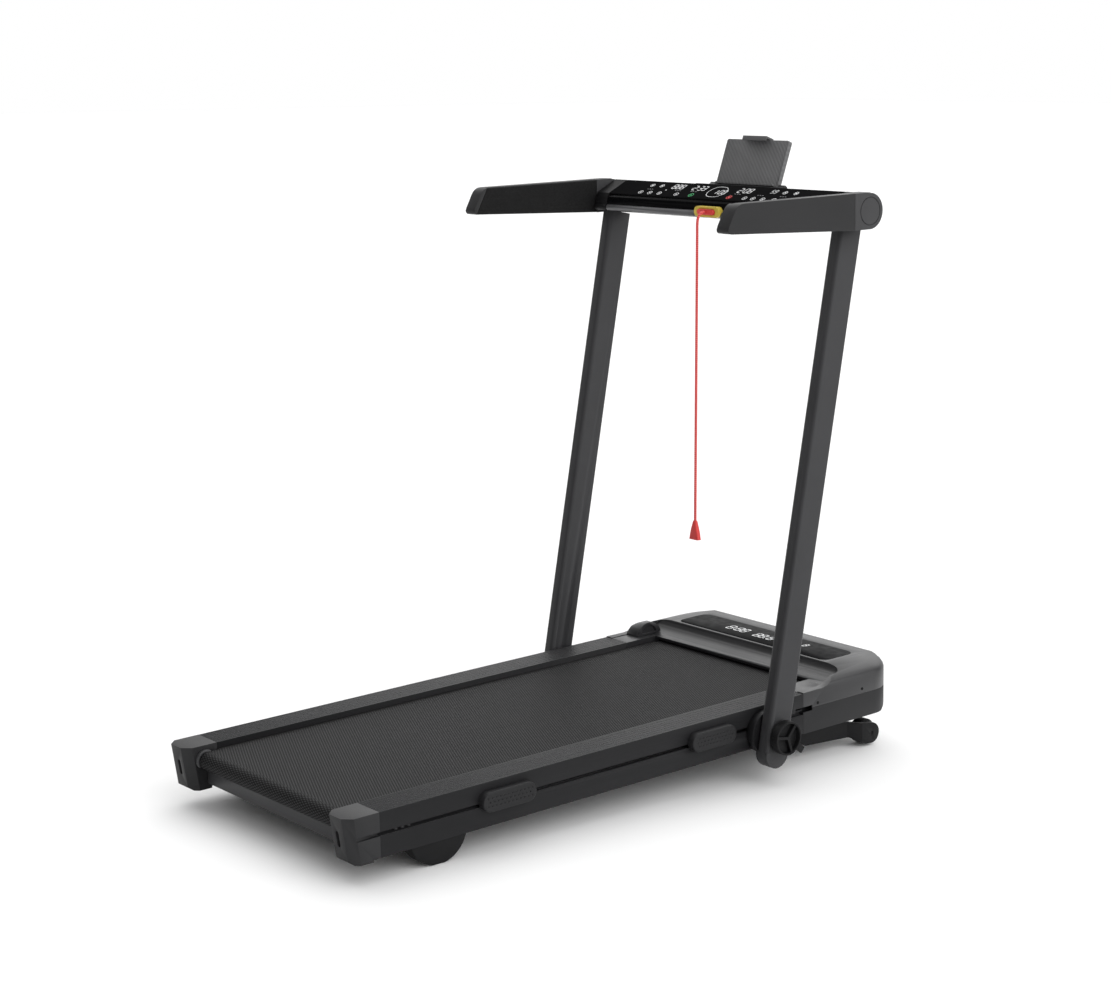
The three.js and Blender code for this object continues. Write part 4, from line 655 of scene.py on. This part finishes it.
def dimpled_pad(node):
    """A stadium pad with a domed edge and staggered dimples over its face."""
    low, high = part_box(node)
    into = DECK.inverted()
    corners = [into @ Vector((x, y, z))
               for x in (low.x, high.x) for y in (low.y, high.y) for z in (low.z, high.z)]
    x0, x1 = min(c.x for c in corners), max(c.x for c in corners)
    side = 1 if x0 > 0 else -1
    base, face = (x0, x1) if side > 0 else (x1, x0)
    height = 0.038
    length = 0.123 if "rear" in node else 0.117
    y_mid = (min(c.y for c in corners) + max(c.y for c in corners)) / 2
    z_mid = (min(c.z for c in corners) + max(c.z for c in corners)) / 2
    radius = height / 2 - 0.0002
    straight = length / 2 - height / 2
    around = []
    steps, arc = 84, 26
    for i in range(steps):
        around.append((-straight + 2 * straight * i / steps, -1, None))
    for i in range(arc):
        around.append((straight, 0, -90 + 180 * i / arc))
    for i in range(steps):
        around.append((straight - 2 * straight * i / steps, 1, None))
    for i in range(arc):
        around.append((-straight, 0, 90 + 180 * i / arc))
    rings = 26
    pitch, rows = 0.0092, 0.0075
    points, faces = [], []
    count = len(around)
    for ring in range(rings + 1):
        r = radius * (1 - ring / rings)
        for y, way, turn in around:
            if turn is None:
                py, pz = y, way * r
            else:
                py, pz = y + r * math.cos(math.radians(turn)), r * math.sin(math.radians(turn))
            inset = radius - r
            dome = min(inset / 0.0030, 1.0)
            depth = 0.0022 * (1 - math.sqrt(max(0.0, 1 - (1 - dome) ** 2)))
            row = round(pz / rows)
            shift = pitch / 2 if row % 2 else 0.0
            column = round((py - shift) / pitch)
            away = math.hypot(py - shift - column * pitch, pz - row * rows)
            near_edge = abs(row) > 1 or abs(column * pitch + shift) > straight + 0.009
            if not near_edge and away < 0.0026:
                depth += 0.0024 * (0.5 + 0.5 * math.cos(math.pi * away / 0.0026))
            points.append((face - side * depth, y_mid + py, z_mid + pz))
    for ring in range(rings):
        for k in range(count):
            n = (k + 1) % count
            faces.append((ring * count + k, ring * count + n,
                          (ring + 1) * count + n, (ring + 1) * count + k))
    start = len(points)
    for k in range(count):
        x, y, z = points[k]
        points.append((base, y, z))
    for k in range(count):
        n = (k + 1) % count
        faces.append((k, start + k, start + n, n))
    faces.append(tuple(range(start, start + count)))
    piece = mesh_piece(node + "_dimpled", points, faces, DECK, PAD, 50)
    attach(piece, "deck")
    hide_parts(node)


for node in both("side_pad_rear") + both("side_pad_front"):
    dimpled_pad(node)

# ------------------------------------------------------------------ feet, arms, wheels

for node in both("rear_foot"):
    refine(node, MATT, 0.0012, 2)
for node in both("wheel_arm"):
    refine(node, MATT, 0.0012, 2)
for node in both("transport_wheel"):
    refine(node, RUBBER, 0.0016, 3)

# ------------------------------------------------------------------ motor end

refine("motor_cover", COVER, 0.0010, 2, 34)
refine("base_pan", MOULDED, 0.0010, 2, 34)
refine("display_window", WINDOW, 0.0002, 1)
refine("lift_grip", COVER, 0.0010, 2)
refine("power_inlet", RUBBER, 0.0004, 2)
refine("power_switch", KEY_RED, 0.0005, 2)
for node in ("motor_frame", "motor", "fold_pivot_right", "fold_pivot_left"):
    refine(node, DARK_STEEL, 0.0006, 2)
for node in ("motor_pulley", "motor_controller"):
    paint(node, STEEL)
paint("drive_belt", RUBBER)

# ------------------------------------------------------------------ uprights and knob

for node in both("upright"):
    refine(node, PAINT, 0.0006, 2)
refine("lock_knob", MATT, 0.0010, 3)
refine("pivot_cap", MOULDED, 0.0015, 3)

# ------------------------------------------------------------------ console and handrails

for node in both("upright_head"):
    refine(node, MATT, 0.0010, 2)
refine("console_shell", GLOSS, 0.0008, 2, 24)
refine("console_panel", PANEL, 0.0003, 2)
refine("console_bar", BAR, 0.0003, 1)
refine("key_socket", KEY_YELLOW, 0.0010, 3)
refine("safety_key", KEY_RED, 0.0012, 3)
refine("console_shaft", STEEL, 0.0005, 1)
for node in both("handrail"):
    refine(node, SHELL, 0.0030, 4)
for node in both("grip_pad"):
    pad = refine(node, LEATHER, 0.0025, 3)
for node in both("handrail_housing"):
    refine(node, HOUSING, 0.0012, 3)
refine("tablet_bracket", MOULDED, 0.0008, 2)
refine("tablet_plate", HATCH, 0.0012, 3)
refine("tablet_clip", TABLET_GREY, 0.0008, 2)

# ------------------------------------------------------------------ printed marks

SEGMENTS = {
    "0": "abcdef", "1": "bc", "2": "abged", "3": "abgcd", "4": "fgbc", "5": "afgcd",
    "6": "afgedc", "7": "abc", "8": "abcdefg", "9": "abcdfg",
}


def bar(x0, y0, x1, y1, thick):
    """A segment from one point to another with pointed ends, as a flat polygon."""
    a, b = Vector((x0, y0)), Vector((x1, y1))
    along = (b - a).normalized()
    across = Vector((-along.y, along.x)) * thick / 2
    tip = along * thick / 2
    return [a, a + tip + across, b - tip + across, b, b - tip - across, a + tip - across]


def digit_polygons(text, height, slant=0.12):
    """Seven-segment numbers starting at the origin, with a slight slant."""
    width = height * 0.52
    thick = height * 0.11
    step = height * 0.74
    found = []
    cursor = 0.0
    for mark in text:
        if mark in ":.":
            spots = (0.3, 0.7) if mark == ":" else (0.03,)
            for share in spots:
                found.append(disc(cursor, height * share, thick * 0.6, 10))
            cursor += height * 0.3
            continue
        if mark == " ":
            cursor += step
            continue
        h = height / 2
        gap = thick * 0.12
        places = {
            "a": (gap, height, width - gap, height), "g": (gap, h, width - gap, h),
            "d": (gap, 0, width - gap, 0),
            "f": (0, height - gap, 0, h + gap), "b": (width, height - gap, width, h + gap),
            "e": (0, h - gap, 0, gap), "c": (width, h - gap, width, gap),
        }
        for key in SEGMENTS[mark]:
            x0, y0, x1, y1 = places[key]
            found.append([p + Vector((cursor, 0)) for p in bar(x0, y0, x1, y1, thick)])
        cursor += step
    return [[Vector((p.x + slant * p.y, p.y)) for p in polygon] for polygon in found], cursor


def disc(x, y, radius, sides=20):
    return [Vector((x + radius * math.cos(2 * math.pi * k / sides),
                    y + radius * math.sin(2 * math.pi * k / sides)))
            for k in range(sides)]


def ring_polygons(x, y, outer, inner, sides=24, squash=1.0, start=0.0, end=1.0):
    """A ring as short four-cornered pieces."""
    found = []
    for k in range(sides):
        share0, share1 = k / sides, (k + 1) / sides
        if share0 < start or share1 > end:
            continue
        a, b = 2 * math.pi * share0, 2 * math.pi * share1
        found.append([
            Vector((x + outer * math.cos(a), y + outer * squash * math.sin(a))),
            Vector((x + outer * math.cos(b), y + outer * squash * math.sin(b))),
            Vector((x + inner * math.cos(b), y + inner * squash * math.sin(b))),
            Vector((x + inner * math.cos(a), y + inner * squash * math.sin(a))),
        ])
    return found


def stadium_ring(x, y, width, height, thick, sides=10):
    """The outline of a stadium as four-cornered pieces."""
    radius = height / 2
    straight = width / 2 - radius
    line = []
    for centre, begin in ((straight, -90), (-straight, 90)):
        for k in range(sides + 1):
            turn = math.radians(begin + 180 * k / sides)
            line.append((Vector((x + centre, y)), Vector((math.cos(turn), math.sin(turn)))))
    found = []
    for (c0, d0), (c1, d1) in zip(line, line[1:] + line[:1]):
        found.append([c0 + d0 * radius, c1 + d1 * radius,
                      c1 + d1 * (radius - thick), c0 + d0 * (radius - thick)])
    return found


def decal(name, polygons, place, body, material, thick=0.00012):
    """Printed marks as one thin raised layer.

    place turns flat coordinates and a lift into row points."""
    points, faces = [], []
    for polygon in polygons:
        start = len(points)
        lower = [place(p.x, p.y, 0.0) for p in polygon]
        upper = [place(p.x, p.y, thick) for p in polygon]
        points += lower + upper
        n = len(polygon)
        faces.append(tuple(start + i for i in reversed(range(n))))
        faces.append(tuple(start + n + i for i in range(n)))
        for i in range(n):
            k = (i + 1) % n
            faces.append((start + i, start + k, start + n + k, start + n + i))
    piece = mesh_piece(name, points, faces, Matrix.Identity(4), material)
    attach(piece, body)
    return piece


PANEL_REAR = Vector((-0.043, 0.009))
PANEL_CREST = Vector((0.009, 0.0338))
PANEL_DIR = (PANEL_CREST - PANEL_REAR).normalized()


def on_panel(x, y, lift):
    """y runs from the panel's rear edge up to its crest."""
    flat = PANEL_REAR + PANEL_DIR * y
    normal = Vector((-PANEL_DIR.y, PANEL_DIR.x))
    point = flat + normal * lift
    return HEAD @ Vector((x, point.x, point.y))


WINDOW_TOP = 0.0263


def on_window(x, y, lift):
    return DECK @ Vector((x, y, WINDOW_TOP + lift))


def shifted(polygons, x, y):
    return [[p + Vector((x, y)) for p in polygon] for polygon in polygons]


def panel_marks():
    """Readouts, key rings and dashes on the console panel: generic digits and icons only."""
    white, grey, green, red = [], [], [], []
    for text, x, y, size in (("888", -0.158, 0.032, 0.0165), ("2:33", -0.094, 0.031, 0.0165),
                             ("1:00", -0.022, 0.021, 0.0150), ("2:08", 0.042, 0.031, 0.0165),
                             ("59", 0.134, 0.036, 0.0120)):
        polygons, _ = digit_polygons(text, size)
        white += shifted(polygons, x, y)
    upper, lower, middle = 0.0405, 0.0110, 0.0250
    for x in (-0.224, -0.194, 0.174, 0.205):
        white += ring_polygons(x, upper, 0.0058, 0.0046)
        white.append(disc(x, upper, 0.0024, 12))
    for x in (-0.233, -0.204, -0.174, -0.121, 0.084, 0.108, 0.136, 0.167):
        white += ring_polygons(x, lower, 0.0060, 0.0049)
        white.append(bar(x - 0.0030, lower, x + 0.0030, lower, 0.0013))
        white.append(bar(x, lower - 0.0030, x, lower + 0.0030, 0.0013))
    for x in (-0.2163, -0.1295, -0.0815, 0.0508, 0.1172, 0.1816):
        for k in range(3):
            at = x + 0.007 * (k - 1)
            grey.append(bar(at - 0.0024, middle, at + 0.0024, middle, 0.0014))
    white.append(disc(-0.1665, middle, 0.0017, 12))
    white += stadium_ring(-0.0134, 0.0290, 0.052, 0.042, 0.0011)
    green += ring_polygons(-0.0756, lower, 0.0068, 0.0054)
    green.append([Vector((-0.0778, lower - 0.0034)), Vector((-0.0778, lower + 0.0034)),
                  Vector((-0.0720, lower))])
    red += ring_polygons(0.0385, lower, 0.0068, 0.0054)
    red.append([Vector((0.0385 + a * 0.0026, lower + b * 0.0026))
                for a, b in ((-1, -1), (1, -1), (1, 1), (-1, 1))])
    decal("panel_digits", white, on_panel, "console", INK_WHITE)
    decal("panel_outlines", grey, on_panel, "console", INK_GREY)
    decal("panel_start_mark", green, on_panel, "console", INK_GREEN)
    decal("panel_stop_mark", red, on_panel, "console", INK_RED)


def window_marks():
    """Readouts behind the deck's window."""
    white = []
    for text, x, y, size in (("8:88", -0.110, 1.290, 0.024), ("88.8", -0.022, 1.286, 0.023),
                             ("8", 0.112, 1.303, 0.016)):
        polygons, _ = digit_polygons(text, size)
        white += shifted(polygons, x, y)
    decal("window_digits", white, on_window, "deck", INK_WHITE)


panel_marks()
window_marks()

# ------------------------------------------------------------------ small details


def disc_detail(name, centre, radius, depth, axis_matrix, material, body, sides=24, dish=0.0):
    """A short round boss or plug with a rolled rim, its axis along local X."""
    profile = [(0.0, radius), (depth * 0.55, radius), (depth * 0.85, radius * 0.94),
               (depth, radius * 0.82), (depth - dish, radius * 0.62), (depth - dish, 0.0)]
    points, faces = [], []
    for x, r in profile[:-1]:
        for k in range(sides):
            turn = 2 * math.pi * k / sides
            points.append((x, r * math.cos(turn), r * math.sin(turn)))
    last = len(points)
    points.append((profile[-1][0], 0, 0))
    for i in range(len(profile) - 2):
        for k in range(sides):
            n = (k + 1) % sides
            faces.append((i * sides + k, i * sides + n, (i + 1) * sides + n, (i + 1) * sides + k))
    base = (len(profile) - 2) * sides
    for k in range(sides):
        faces.append((base + k, base + (k + 1) % sides, last))
    faces.append(tuple(reversed(range(sides))))
    piece = mesh_piece(name, points, faces, axis_matrix @ Matrix.Translation(centre), material, 35)
    attach(piece, body)
    return piece


FLIP = Matrix.Rotation(math.pi, 4, "Z")
# near-black matt discs just proud of the cover's sides: painted shade standing in for the screw holes
HOLE_SHADE_RADIUS = 0.0032
HOLE_SHADE_STANDS = 0.0004                       # out of the cover's side
for side, label in ((1, "right"), (-1, "left")):
    for y, tag in ((1.154, "rear"), (1.284, "front")):
        z = -0.024 if tag == "front" else -0.027
        place = DECK @ Matrix.Translation((side * (RAIL_OUT - 0.0002), y, z))
        if side < 0:
            place = place @ FLIP
        disc_detail(f"cover_screw_{tag}_{label}", (0, 0, 0), HOLE_SHADE_RADIUS, HOLE_SHADE_STANDS, place, HOLE_SHADE,
                    "deck", 16, 0.0002)


def slot_hooks():
    """Three small catches stand in the slot near each rail's rear end."""
    for side, label in ((1, "right"), (-1, "left")):
        for i, y in enumerate((0.100, 0.114, 0.128)):
            x0, x1 = side * (RAIL_OUT - 0.006), side * (RAIL_OUT - 0.0004)
            y0, y1 = y, y + 0.007
            z0, z1 = -0.0405, -0.0366
            points = [(x, py, pz) for x in (x0, x1)
                      for py, pz in ((y0, z1), (y1, z1), (y1, z0), (y0 + 0.003, z0))]
            faces = [(0, 1, 2, 3), (7, 6, 5, 4), (0, 4, 5, 1), (1, 5, 6, 2), (2, 6, 7, 3), (3, 7, 4, 0)]
            piece = mesh_piece(f"slot_catch_{i + 1}_{label}", points, faces, DECK, MOULDED)
            bevel(piece, 0.0005, 2)
            attach(piece, "deck")


slot_hooks()

# ------------------------------------------------------------------ floor and light

FLOOR_SIZE = 60.0
FLOOR_DROP = 0.0005                         # below the feet, so the faces don't meet
SUN_STRENGTH = 1.55
SUN_SPREAD = 85                             # degrees: a very soft light from above
SUN_TOWARD = (0.42, -0.40, -1.0)
floor = mesh_piece(
    "floor", [(-FLOOR_SIZE, -FLOOR_SIZE, -FLOOR_DROP), (FLOOR_SIZE, -FLOOR_SIZE, -FLOOR_DROP),
              (FLOOR_SIZE, FLOOR_SIZE, -FLOOR_DROP), (-FLOOR_SIZE, FLOOR_SIZE, -FLOOR_DROP)],
    [(0, 1, 2, 3)], Matrix.Identity(4), floor_material(),
)


def studio_world():
    """White behind the object, a dimmer room on the other sides, and a soft bright side to +X."""
    world = bpy.data.worlds.new("studio")
    world.use_nodes = True
    tree = world.node_tree
    texture = tree.nodes.new("ShaderNodeTexCoord")

    def facing(direction, low, high, start, end):
        node = tree.nodes.new("ShaderNodeVectorMath")
        node.operation = "DOT_PRODUCT"
        node.inputs[1].default_value = Vector(direction).normalized()
        tree.links.new(texture.outputs["Generated"], node.inputs[0])
        return spread(tree, node.outputs["Value"], low, high, start, end)

    behind = facing((-0.76, 0.62, 0.0), 0.0, 1.0, 0.30, 0.70)
    side = facing((1.0, 0.15, 0.25), 0.0, 2.2, 0.55, 0.95)
    above = facing((0.0, 0.0, 1.0), 0.0, 0.40, 0.05, 0.60)
    room = math_node(tree, "ADD", math_node(tree, "ADD", side, above), 0.03)
    level = math_node(tree, "MAXIMUM", room, behind)
    background = tree.nodes["Background"]
    tree.links.new(math_node(tree, "MULTIPLY", level, 1.0), background.inputs["Strength"])
    background.inputs["Color"].default_value = (1.0, 1.0, 1.0, 1.0)
    bpy.context.scene.world = world


studio_world()
bpy.context.scene.view_settings.view_transform = "Standard"
sun_data = bpy.data.lights.new("top_sun", "SUN")
sun_data.energy = SUN_STRENGTH
sun_data.angle = math.radians(SUN_SPREAD)
sun = bpy.data.objects.new("top_sun", sun_data)
bpy.context.scene.collection.objects.link(sun)
sun.rotation_euler = Vector(SUN_TOWARD).to_track_quat("-Z", "Y").to_euler()
